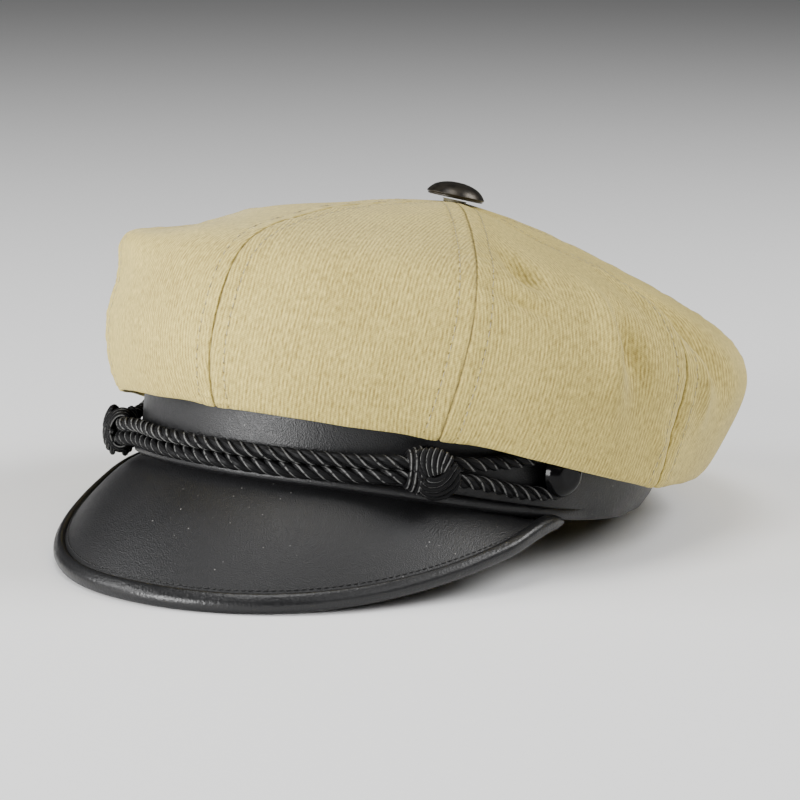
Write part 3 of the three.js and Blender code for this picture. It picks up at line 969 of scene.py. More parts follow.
@dataclass
class Crown:
    """The full crown of eight twill panels, sewn together and topstitched."""

    band: Band
    rows: Sequence[CrownRow] = CROWN_ROWS
    folds: Sequence[Fold] = FOLDS
    height: float = 101
    half_length: float = 124
    half_width: float = 111
    setback: float = 10.6
    sag: float = 2
    crest_setback: float = 17.5
    cloth: float = 1.8
    hole: float = 3.2
    top_out: float = 0.38
    brim_out: float = 0.7
    panels: int = 8
    seam_rise: float = 0.9
    seam_spread: float = 9
    ditch: float = 0.5
    ditch_width: float = 0.5
    stitch_dent: float = 0.16
    stitch_dent_width: float = 0.7
    stitch_radius: float = 0.18
    stitch_lift: float = 0.06
    stitch_share: float = 0.76
    stitch_span: tuple[float, float] = (0.045, 0.685)
    pucker: float = 0.14
    pucker_pitch: float = 9
    pucker_span: float = 230
    pucker_off: float = 4
    pucker_width: float = 4.5
    crowding: float = 0.85
    count: int = field(init=False)
    net: Places = field(init=False)

    def __post_init__(self) -> None:
        """Works out the net, with one spare row or column past each end."""
        mirrored = [
            CrownRow(**{**row.__dict__, "turn": 360 - row.turn, "swing": -row.swing})
            for row in reversed(self.rows[1:-1])
        ]
        net = np.array([self.meridian(row) for row in [*self.rows, *mirrored]])
        self.count = len(net)
        ends = [2 * net[:, 0] - net[:, 1], 2 * net[:, -1] - net[:, -2]]
        for end, edge in zip(ends, (net[:, 0], net[:, -1])):
            end[:, 0] = edge[:, 0]
        net = np.concatenate([ends[0][:, None], net, ends[1][:, None]], axis=1)
        whole = np.array([2 * math.pi, 0, 0])
        self.net = np.concatenate([net[-1:] - whole, net, net[:2] + whole])

    def reach(
        self, turn: float, half_width: float, half_length: float, sag: float, back: float
    ) -> float:
        """Distance from the crest's axis, along a direction seen from above, to an oval.

        Args:
            turn: the direction, as an angle from the front in radians.
            half_width: half of the oval's width.
            half_length: half of its length.
            sag: how far it lies to the wearer's right.
            back: how far it lies back.

        Returns:
            The distance.
        """
        across = math.sin(turn) / half_width
        ahead = -math.cos(turn) / half_length
        start = (sag / half_width, (self.crest_setback - back) / half_length)
        a = across**2 + ahead**2
        b = across * start[0] + ahead * start[1]
        c = start[0] ** 2 + start[1] ** 2 - 1
        return (-b + math.sqrt(b * b - a * c)) / a

    def meridian(self, row: CrownRow) -> list[tuple[float, float, float]]:
        """Works out one row of the net.

        Args:
            row: the row, as shares.

        Returns:
            Each control point's direction, distance from the crest's axis and height.
        """
        turn = math.radians(row.turn)
        hem_turn = math.radians(row.turn - row.swing)
        reach = self.reach(turn, self.half_width, self.half_length, self.sag, self.setback)
        wall = self.reach(hem_turn, self.band.half_width, self.band.half_length, 0, 0)
        tuck = self.band.height + GAP
        hem = (hem_turn, row.hem_out * reach, row.hem_rise * self.height)
        return [
            (turn, self.hole, self.height),
            (turn, self.top_out * reach, row.top_rise * self.height),
            (turn, self.brim_out * reach, row.brim_rise * self.height),
            (turn, row.shoulder_out * reach, row.shoulder_rise * self.height),
            (turn, row.side_out * reach, row.side_rise * self.height),
            ((turn + hem_turn) / 2, row.wall_out * reach, row.wall_rise * self.height),
            hem,
            (hem_turn, blend(wall + self.cloth, hem[1], 0.7), blend(tuck, hem[2], 0.48)),
            (hem_turn, wall + self.cloth, tuck + 1.2 * self.cloth),
            (hem_turn, wall - 0.8 * self.band.wall, tuck),
        ]

    def base(self, around: np.ndarray, down: np.ndarray) -> Places:
        """Points of the outer face without seams and folds.

        Args:
            around: the place round the crown, counted in the net's rows.
            down: the share of the way down.

        Returns:
            The points.
        """
        spans = self.net.shape[1] - 3
        laps = np.floor(around / self.count)
        around = around - laps * self.count
        place = np.clip(down, 0, 1) * spans
        row = np.minimum(np.floor(around).astype(int), self.count - 1)
        span = np.minimum(np.floor(place).astype(int), spans - 1)
        total = np.zeros((*np.shape(around), 3))
        for i, across_weight in enumerate(self.weights(around - row)):
            for j, down_weight in enumerate(self.weights(place - span)):
                total += (across_weight * down_weight)[..., None] * self.net[row + i, span + j]
        turn, out, z = np.moveaxis(total, -1, 0)
        turn = turn + laps * 2 * math.pi
        return columns_of(out * np.sin(turn), self.crest_setback - out * np.cos(turn), z)

    @staticmethod
    def weights(share: np.ndarray) -> list[np.ndarray]:
        """Weights of the four control points round a span of a cubic B-spline.

        Args:
            share: the share of the span that lies behind.

        Returns:
            One weight for each control point.
        """
        rest = 1 - share
        return [
            rest**3 / 6,
            (3 * share**3 - 6 * share**2 + 4) / 6,
            (3 * rest**3 - 6 * rest**2 + 4) / 6,
            share**3 / 6,
        ]

    def normal(self, around: np.ndarray, down: np.ndarray) -> Places:
        """Outward direction of the outer face without seams and folds.

        Args:
            around: the place round the crown, counted in the net's rows.
            down: the share of the way down.

        Returns:
            The directions, at length 1.
        """
        step = 1e-3
        low, high = np.maximum(down - step, 0), np.minimum(down + step, 1)
        along = self.base(around, high) - self.base(around, low)
        across = self.base(around + step, down) - self.base(around - step, down)
        return unit(np.cross(along, across))

    def row_width(self, around: np.ndarray, down: np.ndarray) -> np.ndarray:
        """Width of one of the net's rows.

        Args:
            around: the place round the crown, counted in the net's rows.
            down: the share of the way down.

        Returns:
            The width there in millimetres.
        """
        step = 0.02
        apart = self.base(around + step, down) - self.base(around - step, down)
        return np.linalg.norm(apart, axis=-1) / (2 * step)

    def distance_down(self, around: float, down: np.ndarray) -> np.ndarray:
        """Millimetres from the crest, along one meridian, to some shares of the way down."""
        fine = np.linspace(0, 1, 400)
        return np.interp(down, fine, travelled(self.base(np.full_like(fine, around), fine)))

    def relief(self, around: np.ndarray, down: np.ndarray) -> np.ndarray:
        """How far the cloth stands proud of the smooth face.

        Args:
            around: the place round the crown, counted in the net's rows.
            down: the share of the way down.

        Returns:
            Millimetres, less than 0 in a dent.
        """
        each = self.count / self.panels
        panel = around / each
        nearest = np.round(panel)
        off = np.abs(panel - nearest) * each * self.row_width(around, down)

        def beside(distance: float, width: float) -> np.ndarray:
            """1 at a distance off the seam, and less the further from there."""
            return np.exp(-(((off - distance) / width) ** 2))

        lift = self.seam_rise * beside(0, self.seam_spread) * np.sin(math.pi * np.clip(down, 0, 1))
        wide = smoothstep(down, 0.0, 0.12)
        lift = lift - self.ditch * beside(0, self.ditch_width) * blend(0.3, 1, wide)
        lift = lift - self.stitch_dent * beside(STITCH_OFF, self.stitch_dent_width) * wide
        way = down * 2 * math.pi * self.pucker_span / self.pucker_pitch
        waves = np.sin(way + nearest * 2.1) + 0.6 * np.sin(way / 0.61 + nearest * 4.7)
        lift = lift + self.pucker * waves * beside(self.pucker_off, self.pucker_width) * wide
        half = self.panels / 2
        for fold in self.folds:
            along = (down - fold.down) / fold.along
            across = np.mod(panel - fold.panel - fold.lean * along + half, self.panels) - half
            lift = lift + fold.rise * np.exp(-(along**2) - (across / fold.across) ** 2)
        return lift

    def ripple(self, points: Places) -> np.ndarray:
        """Shallow unevenness of the cloth.

        Args:
            points: where it is read.

        Returns:
            Its height at each of them, in millimetres.
        """
        broad = [noise.noise(Vector(point) / 34) for point in points]
        fine = [noise.noise(Vector(point) / 11 + Vector((7, 3, 1))) for point in points]
        return 0.7 * np.array(broad) + 0.16 * np.array(fine)

    def point(self, around: np.ndarray, down: np.ndarray, lift: float = 0) -> Places:
        """Points of the finished outer face.

        Args:
            around: the place round the crown, counted in the net's rows.
            down: the share of the way down.
            lift: how far above the cloth, in millimetres.

        Returns:
            The points.
        """
        base = self.base(around, down)
        shown = smoothstep(down, 0.0, 0.1) * (1 - smoothstep(down, 0.7, 0.8))
        proud = self.relief(around, down) + self.ripple(base) * shown + lift
        return base + self.normal(around, down) * proud[..., None]

    def seam_line(self, seam: int, off: float) -> Places:
        """Points along one side of a seam, every 0.5 mm or so.

        Args:
            seam: the seam's number, counted like the panels.
            off: the distance off it in millimetres, towards the next panel.

        Returns:
            The points, a little above the cloth.
        """
        down = np.linspace(*self.stitch_span, 420)
        around = np.full_like(down, seam * self.count / self.panels)
        around = around + off / self.row_width(around, down)
        return self.point(around, down, self.stitch_lift)

    def build_panel(self, index: int, cap: CapFrame, twill: bpy.types.Material) -> None:
        """Makes one panel, with finer faces towards its seams.

        Args:
            index: the panel's number, from 0 beside the front seam.
            cap: the band's frame.
            twill: its cloth.
        """
        each = self.count / self.panels
        first = index * each
        middle, last = first + each / 2, first + each

        def around_at(across: np.ndarray) -> np.ndarray:
            """The place round the crown at some shares across the panel."""
            crowded = self.crowding / (2 * math.pi) * np.sin(2 * math.pi * across)
            return first + each * (across - crowded)

        def shape(across: np.ndarray, along: np.ndarray) -> Places:
            """Lays the shares on the outer face."""
            return self.point(around_at(across), along)

        def cloth(across: np.ndarray, along: np.ndarray) -> Places:
            """The cloth chart: metres across the panel from its middle, and down it.

            Args:
                across: the share of the way from the panel's first edge to its last.
                along: the share of the way down.

            Returns:
                Two columns of metres.
            """
            around = around_at(across)
            width = self.row_width(np.full_like(around, middle), along)
            return columns_of((around - middle) * width, self.distance_down(middle, along)) * MM

        def seam(across: np.ndarray, along: np.ndarray) -> Places:
            """The seam chart: metres off the nearest seam, and down that seam.

            Args:
                across: the share of the way from the panel's first edge to its last.
                along: the share of the way down.

            Returns:
                Two columns of metres.
            """
            around = around_at(across)
            off = np.minimum(around - first, last - around) * self.row_width(around, along)
            sides = [self.distance_down(edge, along) for edge in (first, last)]
            return columns_of(off, np.where(across < 0.5, *sides)) * MM

        crest = Vector(cap.place(np.array([[0, self.crest_setback, self.band.height]]))[0])
        mesh = sheet(84, 190, shape, cap, {"cloth": cloth, "seam": seam})
        faced(mesh, lambda point: point - crest)
        nodes = [f"crown_panel_{index + 1}"]
        panel = finished(f"twill_panel_{index + 1}", mesh, twill, nodes)
        thicken(panel, 0.8 * self.cloth, -1)

    def build_topstitching(self, cap: CapFrame, thread: bpy.types.Material) -> None:
        """Makes the stitches on both sides of every seam.

        Args:
            cap: the band's frame.
            thread: their finish.
        """
        lines = [
            self.seam_line(seam, off)
            for seam in range(self.panels)
            for off in (-STITCH_OFF, STITCH_OFF)
        ]
        ends = [stitches_along(line, STITCH_PITCH, self.stitch_share) for line in lines]
        stitches = joined([capsules(*pair, self.stitch_radius, cap) for pair in ends])
        finished("crown_topstitching", stitches, thread)

    def build(self, cap: CapFrame, twill: bpy.types.Material, thread: bpy.types.Material) -> None:
        """Makes the panels and their topstitching.

        Args:
            cap: the band's frame.
            twill: the panels' cloth.
            thread: the stitches' finish.
        """
        for index in range(self.panels):
            self.build_panel(index, cap, twill)
        self.build_topstitching(cap, thread)


# The binding's section over the plate's upper face, as shares of the binding's tail and of its
# half height. It is mirrored below.
BINDING_TAIL = ((-1.0, 0.3), (-1.06, 0.55), (-0.98, 0.86), (-0.75, 0.985))


@dataclass
class Peak:
    """The leather peak, with its folded binding."""

    band: Band
    half_width: float = 89.3
    tip: float = 140
    root: float = 17
    drop: float = 29.6
    side_rise: float = 8.6
    sweep: float = 1.43
    thickness: float = 2
    spread: float = 80
    knee: float = 0.31
    bulge: float = 0.13
    binding_height: float = 6.2
    binding_depth: float = 6
    binding_past: float = 0.012
    end: float = 0.97
    stitch_pitch: float = 2.4
    stitch_share: float = 0.7
    stitch_radius: float = 0.26
    stitch_inset: float = 0.55
    stitch_lift: float = 0.12
    stitch_span: float = 0.93

    def fade(self, bearing: np.ndarray) -> np.ndarray:
        """How much of the peak's width is left at a bearing, -1 at the wearer's right end."""
        return 1 - smoothstep(np.abs(bearing), 0.8, 1.06)

    def binding_share(self, bearing: np.ndarray) -> np.ndarray:
        """How thick the binding is at a bearing."""
        return blend(0.7, 1, self.fade(bearing))

    def start(self, bearing: np.ndarray) -> Places:
        """Where the plate starts, under the middle of the band's wall.

        Args:
            bearing: -1 at the wearer's right end of the peak and 1 at the left one.

        Returns:
            The points.
        """
        turn = np.radians(bearing * self.spread)
        under = smoothstep(np.abs(bearing), 0.8, 0.96)
        tall = self.binding_height * self.binding_share(bearing) + 2 * GAP
        drop = blend(self.thickness, tall, under) / 2
        return self.band.point(turn, -self.band.wall / 2, self.band.edge(turn) - GAP - drop)

    def rim(self, bearing: np.ndarray) -> Places:
        """The plate's outer edge.

        Args:
            bearing: -1 at the wearer's right end of the peak and 1 at the left one.

        Returns:
            The points.
        """
        angle = np.radians(bearing * 90)
        ahead = np.cos(angle)
        fall = 1 - np.maximum(1 - ahead, 0) ** self.sweep
        free = columns_of(
            self.half_width * np.sin(angle),
            blend(-self.root, -self.tip, ahead),
            self.side_rise - (self.side_rise + self.drop) * fall,
        )
        return blend(self.start(bearing), free, self.fade(bearing)[..., None])

    def point(self, bearing: np.ndarray, share: np.ndarray) -> Places:
        """The middle of the plate's thickness.

        Args:
            bearing: -1 at the wearer's right end of the peak and 1 at the left one.
            share: 0 at the band and 1 at the outer edge.

        Returns:
            The points.
        """
        start, rim = self.start(bearing), self.rim(bearing)
        width = rim - start
        along = unit(width)
        above = unit(np.array([0, 0, 1.0]) - along * along[..., 2:3])
        reach = np.linalg.norm(width, axis=-1, keepdims=True)
        knee = start + width * self.knee + above * reach * self.bulge
        share = share[..., None]
        rest = 1 - share
        return start * rest**2 + knee * 2 * rest * share + rim * share**2

    def frame(self, bearing: np.ndarray, share: np.ndarray) -> tuple[Places, Places]:
        """How the plate lies at some places.

        Args:
            bearing: -1 at the wearer's right end of the peak and 1 at the left one.
            share: 0 at the band and 1 at the outer edge.

        Returns:
            The outward and the upward directions.
        """
        step = 1e-3
        out = unit(self.point(bearing, share + step) - self.point(bearing, share - step))
        across = self.point(bearing + step, share) - self.point(bearing - step, share)
        return out, unit(np.cross(out, across))

    def build_plate(self, cap: CapFrame, leather: bpy.types.Material) -> None:
        """Makes the plate.

        Args:
            cap: the band's frame.
            leather: its finish.
        """

        def shape(across: np.ndarray, along: np.ndarray) -> Places:
            """Lays shares across from end to end and shares along from band to edge."""
            return self.point(blend(-self.end, self.end, across), along)

        mesh = sheet(150, 60, shape, cap)
        faced(mesh, lambda _: Vector((0, 0, 1)))
        plate = finished("leather_peak", mesh, leather, ["peak"])
        thicken(plate, self.thickness, 0)

    def build_binding(self, cap: CapFrame, leather: bpy.types.Material) -> None:
        """Makes the binding, round in section outside and flat towards the plate.

        Args:
            cap: the band's frame.
            leather: its finish.
        """
        arc = np.radians(np.linspace(90, -90, 17))

        def shape(across: np.ndarray, along: np.ndarray) -> Places:
            """Lays the section's outline along the edge.

            Args:
                across: the share of the way along the edge.
                along: the share of the way round the section.

            Returns:
                The points.
            """
            bearing = blend(-1, 1, across) * (self.end + self.binding_past)
            edge = self.point(bearing, np.ones_like(bearing))
            out, up = self.frame(bearing, np.ones_like(bearing))
            roll = self.binding_height / 2 * self.binding_share(bearing)
            tail = self.binding_depth * self.binding_share(bearing) - roll
            closing = np.sqrt(smoothstep(np.minimum(across, 1 - across), 0, 0.035))
            tails, rolls = (list(column) for column in zip(*BINDING_TAIL))
            lengths = tails + list(np.cos(arc)) + tails[::-1] + [-1.0]
            heights = rolls + list(np.sin(arc)) + [-each for each in rolls[::-1]] + [0.3]
            stops = np.linspace(0, 1, len(lengths))
            length = np.interp(along, stops, lengths)
            height = np.interp(along, stops, heights) * roll
            length = np.where(length < 0, length * tail, length * roll)
            return edge + (out * length[..., None] + up * height[..., None]) * closing[..., None]

        mesh = sheet(260, 50, shape, cap)
        faced(mesh)
        finished("peak_edge_binding", mesh, leather, ["peak_binding"])

    def build_stitches(self, cap: CapFrame, thread: bpy.types.Material) -> None:
        """Makes the stitches along the binding's inner edge.

        Args:
            cap: the band's frame.
            thread: their finish.
        """
        bearing = np.linspace(-self.stitch_span, self.stitch_span, 1200)
        width = np.linalg.norm(self.rim(bearing) - self.start(bearing), axis=-1)
        inset = (self.binding_depth - self.binding_height / 2) * self.binding_share(bearing)
        share = 1 - (inset + self.stitch_inset) / np.maximum(width, 8)
        _, up = self.frame(bearing, share)
        line = self.point(bearing, share) + up * (self.thickness / 2 + self.stitch_lift)
        ends = stitches_along(line, self.stitch_pitch, self.stitch_share)
        mesh = capsules(*ends, self.stitch_radius, cap)
        finished("peak_stitching", mesh, thread)

    def build(self, cap: CapFrame, leather: Any, binding: Any, thread: Any) -> None:
        """Makes the plate, its binding and its stitches.

        Args:
            cap: the band's frame.
            leather: the plate's finish.
            binding: the binding's.
            thread: the stitches'.
        """
        self.build_plate(cap, leather)
        self.build_binding(cap, binding)
        self.build_stitches(cap, thread)


@dataclass(frozen=True)
class StrandRow:
    """The cord's two strands at a turn: heights, distance off the band and share of the sag."""

    turn: float
    lower: float
    upper: float
    off: float
    sag: float


STRAND_ROWS = (
    StrandRow(0, 12.3, 17.1, 0.2, 0),
    StrandRow(18, 12.2, 17.0, 0.2, 0),
    StrandRow(32, 12.7, 17.5, 0.8, 0.15),
    StrandRow(39, 13.6, 18.4, 3.6, 0.75),
    StrandRow(46, 14.0, 18.9, 3.9, 1),
    StrandRow(53, 13.7, 19.2, 3.4, 0.95),
    StrandRow(60, 11.9, 19.8, 1, 0.6),
    StrandRow(66, 10.2, 21.1, 0.3, 0.1),
)

# The plies of a knot as it is seen from outside: lines of points in millimetres, the first value
# towards the wearer's left and the second up, both from the knot's middle.
KNOT_LINES = (
    ((-6.4, 6.4), (-8.2, 4.2), (-7.6, 2.2), (-5.6, -1.2), (-4.4, -3.2)),
    ((-4.9, 7.2), (-6.6, 4.6), (-6.2, 2.2), (-4.6, -0.6), (-3.4, -2.4)),
    ((-3.4, 7.7), (-4.8, 4.8), (-4.8, 2.0), (-3.4, -1.4)),
    ((-1.7, 8.0), (-3.1, 4.8), (-3.2, 2.0), (-2.0, -1.6)),
    ((0.0, 8.0), (-1.4, 4.8), (-1.6, 2.0), (-0.8, -1.2)),
    ((1.8, 7.6), (0.4, 4.6), (0.0, 2.0), (0.2, -0.6)),
    ((3.5, 6.8), (2.2, 4.2), (1.4, 2.0), (1.0, -0.2)),
    ((5.0, 5.8), (3.8, 3.6), (2.8, 1.8), (1.8, 0.0)),
    ((-3.6, -1.6), (-1.6, -2.3), (0.8, -1.8), (2.8, -0.1), (4.4, 2.4)),
    ((-4.6, -2.4), (-2.6, -3.8), (0.2, -3.6), (2.8, -1.6), (4.6, 1.0), (6.6, 3.8)),
    ((-5.4, -3.4), (-3.0, -5.3), (0.4, -5.3), (3.8, -3.2), (5.8, -0.4), (7.8, 2.2)),
    ((-5.0, -5.0), (-2.6, -6.9), (1.0, -6.9), (4.8, -4.9), (7.0, -2.0), (8.6, 0.4)),
    ((-3.0, -7.6), (0.8, -8.4), (4.6, -7.2), (7.4, -4.6), (8.6, -1.8)),
)

# The plies that ring the strands on the knot's side towards the front: each one's distance from
# the knot's middle, its half height and its half depth.
KNOT_RINGS = ((5.0, 6.9, 4.9), (6.7, 6.3, 4.5), (8.2, 5.5, 3.9))


def square_to(
    line: Places, tangent: Places, outwards: Callable[[Places], Places]
) -> tuple[Places, Places]:
    """Frames a line.

    Args:
        line: the line's points.
        tangent: its direction at each of them.
        outwards: turns points into directions across the line.

    Returns:
        At each point two directions square to the line, the first one nearest to outwards.
    """
    across = outwards(line)
    across = unit(across - tangent * np.sum(across * tangent, axis=1, keepdims=True))
    return across, np.cross(tangent, across)


def ply_charts(length: float) -> dict[str, Callable[[np.ndarray, np.ndarray], Places]]:
    """The UV map of a ply of some length in millimetres: round it, and metres along it."""
    return {"ply": lambda around, along: columns_of(around, along * length * MM)}


@dataclass
class Cord:
    """The twisted cord's closed loop and the knots round its two strands."""

    band: Band
    rows: Sequence[StrandRow] = STRAND_ROWS
    diameter: float = 5
    sag: float = 3.4
    button_turn: float = 73.5
    button_rise: float = 16.8
    shank: float = 7.6
    plies: int = 3
    pitch: float = 14.4
    knot_turn: float = 46
    twist_step: float = 0.75
    knot_ply: float = 1.0
    knot_tip: float = 1.2
    knot_reach: float = 9
    knot_depth: float = 5
    knot_core: tuple[float, float, float] = (0.86, 0.82, 0.96)

    def height(self, side: Side, row: StrandRow, level: str) -> float:
        """Height of a strand at a row, lower on the wearer's right."""
        drop = row.sag * self.sag if side is Side.RIGHT else 0
        return getattr(row, level) - drop

    def route(self) -> Places:
        """The loop's route, along the lower strand, round a button and back along the upper.

        Returns:
            The route's points, of which the last comes before the first.
        """
        radius = self.diameter / 2

        def strand(side: Side, level: str, rows: Sequence[StrandRow]) -> list[Places]:
            """One strand on one side of the front.

            Args:
                side: the wearer's side that it is on.
                level: which of a row's heights is read.
                rows: the rows in the order of the route.

            Returns:
                Its points.
            """
            return [
                self.band.point(
                    math.radians(side.value * row.turn),
                    radius + GAP + row.off,
                    self.height(side, row, level),
                )
                for row in rows
            ]

        def bight(side: Side) -> list[Places]:
            """The way round a button.

            Args:
                side: the wearer's side that it is on.

            Returns:
                Its points, from the lower strand to the upper.
            """
            turn = math.radians(self.button_turn)
            stride = math.hypot(
                self.band.half_width * math.cos(turn), self.band.half_length * math.sin(turn)
            )
            loop = self.shank / 2 + GAP + radius
            return [
                self.band.point(
                    side.value * (turn + loop * math.cos(angle) / stride),
                    radius + GAP,
                    self.button_rise + loop * math.sin(angle),
                )
                for angle in map(math.radians, (-75, -38, 0, 38, 75))
            ]

        rows = list(self.rows)
        return np.array(
            [
                *strand(Side.LEFT, "lower", rows),
                *bight(Side.LEFT),
                *strand(Side.LEFT, "upper", rows[::-1]),
                *strand(Side.RIGHT, "upper", rows[1:]),
                *bight(Side.RIGHT)[::-1],
                *strand(Side.RIGHT, "lower", rows[:0:-1]),
            ]
        )

    def outwards(self, line: Places) -> Places:
        """Directions out of the band at some points near it."""
        turn = np.arctan2(line[:, 0] / self.band.half_width, -line[:, 1] / self.band.half_length)
        return self.band.normal(turn)

    def rope(self, cap: CapFrame) -> bmesh.types.BMesh:
        """The loop's plies, twisted round its route.

        Args:
            cap: the band's frame.

        Returns:
            The rope's mesh.
        """
        route = self.route()
        length = length_of(spline(route, np.linspace(0, 1, 2000), closed=True))
        twists = round(length / self.pitch)
        steps = int(length / self.twist_step)
        line = spline(route, even_shares(route, steps), closed=True)
        tangent = unit(np.gradient(line, axis=0))
        tangent[0] = tangent[-1] = unit(line[1] - line[-2])
        across, beside = square_to(line, tangent, self.outwards)
        ply_radius = self.diameter / 4
        orbit = self.diameter / 2 - ply_radius * 0.96
        slope = 2 * math.pi * orbit * twists / length
        parts = []
        for ply in range(self.plies):

            def shape(around: np.ndarray, along: np.ndarray, ply: int = ply) -> Places:
                """Lays a ply's outline along the loop.

                Args:
                    around: the share of the way round the ply.
                    along: the share of the way along the loop.
                    ply: which of the plies.

                Returns:
                    The points.
                """
                row = np.minimum(np.round(along * steps).astype(int), steps)
                phase = 2 * math.pi * (ply / self.plies + twists * row / steps)[:, None]
                spoke = across[row] * np.cos(phase) + beside[row] * np.sin(phase)
                lead = unit(tangent[row] + np.cross(tangent[row], spoke) * slope)
                angle = (around * 2 * math.pi)[:, None]
                ring = spoke * np.cos(angle) + np.cross(lead, spoke) * np.sin(angle) * 1.12
                return line[row] + spoke * orbit + ring * ply_radius

            parts.append(sheet(10, steps, shape, cap, ply_charts(length)))
            faced(parts[-1])
        return joined(parts)

    def knot_strand(self, route: Places, centre: Places, cap: CapFrame) -> bmesh.types.BMesh:
        """One of a knot's plies, drawn in to a point at both ends.

        Args:
            route: the ply's middle line.
            centre: the knot's middle, away from which it is framed.
            cap: the band's frame.

        Returns:
            The ply's mesh.
        """
        steps = len(route) - 1
        length = length_of(route)
        tangent = unit(np.gradient(route, axis=0))
        across, beside = square_to(route, tangent, lambda points: points - centre)

        def shape(around: np.ndarray, along: np.ndarray) -> Places:
            """Lays the ply's outline along its route.

            Args:
                around: the share of the way round the ply.
                along: the share of the way along the route.

            Returns:
                The points.
            """
            row = np.minimum(np.round(along * steps).astype(int), steps)
            from_end = np.minimum(along, 1 - along) * length
            width = self.knot_ply * np.sqrt(np.clip(from_end / self.knot_tip, 0, 1))[:, None]
            angle = (around * 2 * math.pi)[:, None]
            return route[row] + (across[row] * np.cos(angle) + beside[row] * np.sin(angle)) * width

        mesh = sheet(10, steps, shape, cap, ply_charts(length))
        faced(mesh)
        return mesh

    def build_knot(self, side: Side, cap: CapFrame, rayon: bpy.types.Material) -> None:
        """Makes one knot: a ball of plies, laid along listed lines over a dome and its back.

        Args:
            side: the wearer's side that it is on.
            cap: the band's frame.
            rayon: the cord's finish.
        """
        turn = math.radians(side.value * self.knot_turn)
        row = next(each for each in self.rows if each.turn == self.knot_turn)
        middle = (self.height(side, row, "lower") + self.height(side, row, "upper")) / 2
        centre = self.band.point(turn, self.diameter / 2 + GAP + row.off, middle)
        out = self.band.normal(turn)
        up = np.array([0, 0, 1.0])
        back = np.cross(up, out)
        routes = []
        for line in KNOT_LINES:
            flat = spline(np.array(line, float), np.linspace(0, 1, 30))
            spread = np.clip(1 - (flat**2).sum(axis=1) / self.knot_reach**2, 0, 1)
            dome = self.knot_depth * np.sqrt(spread)[:, None]
            face = centre + flat[:, :1] * back + flat[:, 1:] * up
            routes += [face + (dome + self.knot_ply * 0.85) * out, face - dome * out]
        angle = np.linspace(-0.1, 2 * math.pi + 0.1, 40)[:, None]
        for far, tall, deep in KNOT_RINGS:
            hub = centre - back * side.value * far
            routes.append(hub + up * np.sin(angle) * tall + out * np.cos(angle) * deep)
        parts = [self.knot_strand(route, centre, cap) for route in routes]

        core = bmesh.new()
        bmesh.ops.create_uvsphere(core, u_segments=24, v_segments=16, radius=1)
        sizes = np.array([self.knot_reach, self.knot_reach, self.knot_depth]) * self.knot_core
        stretch = Matrix([way * size for way, size in zip((back, up, out), sizes)])
        place = cap.matrix @ Matrix.Translation(Vector(centre)) @ stretch.transposed().to_4x4()
        bmesh.ops.transform(core, matrix=place, verts=core.verts)
        core.loops.layers.uv.new("ply")
        faced(core)
        nodes = [f"cord_knot_{side.word}"]
        finished(f"rope_knot_{side.word}", joined([*parts, core]), rayon, nodes)

    def build(self, cap: CapFrame, rayon: bpy.types.Material) -> None:
        """Makes the loop and both knots.

        Args:
            cap: the band's frame.
            rayon: their finish.
        """
        finished("twisted_cord", self.rope(cap), rayon, ["cord"])
        for side in Side:
            self.build_knot(side, cap, rayon)


def lathed(profile: Sequence[tuple[float, float]], steps: int) -> bmesh.types.BMesh:
    """A solid of revolution about Z.

    Args:
        profile: radii and heights in millimetres, from the axis round to the axis.
        steps: how many faces go round it.

    Returns:
        The solid's mesh, still in millimetres.
    """
    mesh = bmesh.new()
    corners = [mesh.verts.new((radius, 0, height)) for radius, height in profile]
    edges = [mesh.edges.new(pair) for pair in zip(corners, corners[1:])]
    bmesh.ops.spin(
        mesh,
        geom=corners + edges,
        cent=(0, 0, 0),
        axis=(0, 0, 1),
        angle=2 * math.pi,
        steps=steps,
        use_merge=True,
    )
    bmesh.ops.remove_doubles(mesh, verts=mesh.verts, dist=1e-4)
    faced(mesh)
    return mesh


def rounded(profile: Sequence[tuple[float, float]], count: int) -> list[tuple[float, float]]:
    """Rounds a profile that ends on its axis.

    Args:
        profile: radii and heights.
        count: how many points the rounded one has.

    Returns:
        Points on the smooth curve through the profile.
    """
    line = spline(np.array(profile, float), np.linspace(0, 1, count))
    line[:, 0] = np.maximum(line[:, 0], 0)
    line[-1, 0] = 0
    return [tuple(point) for point in line]


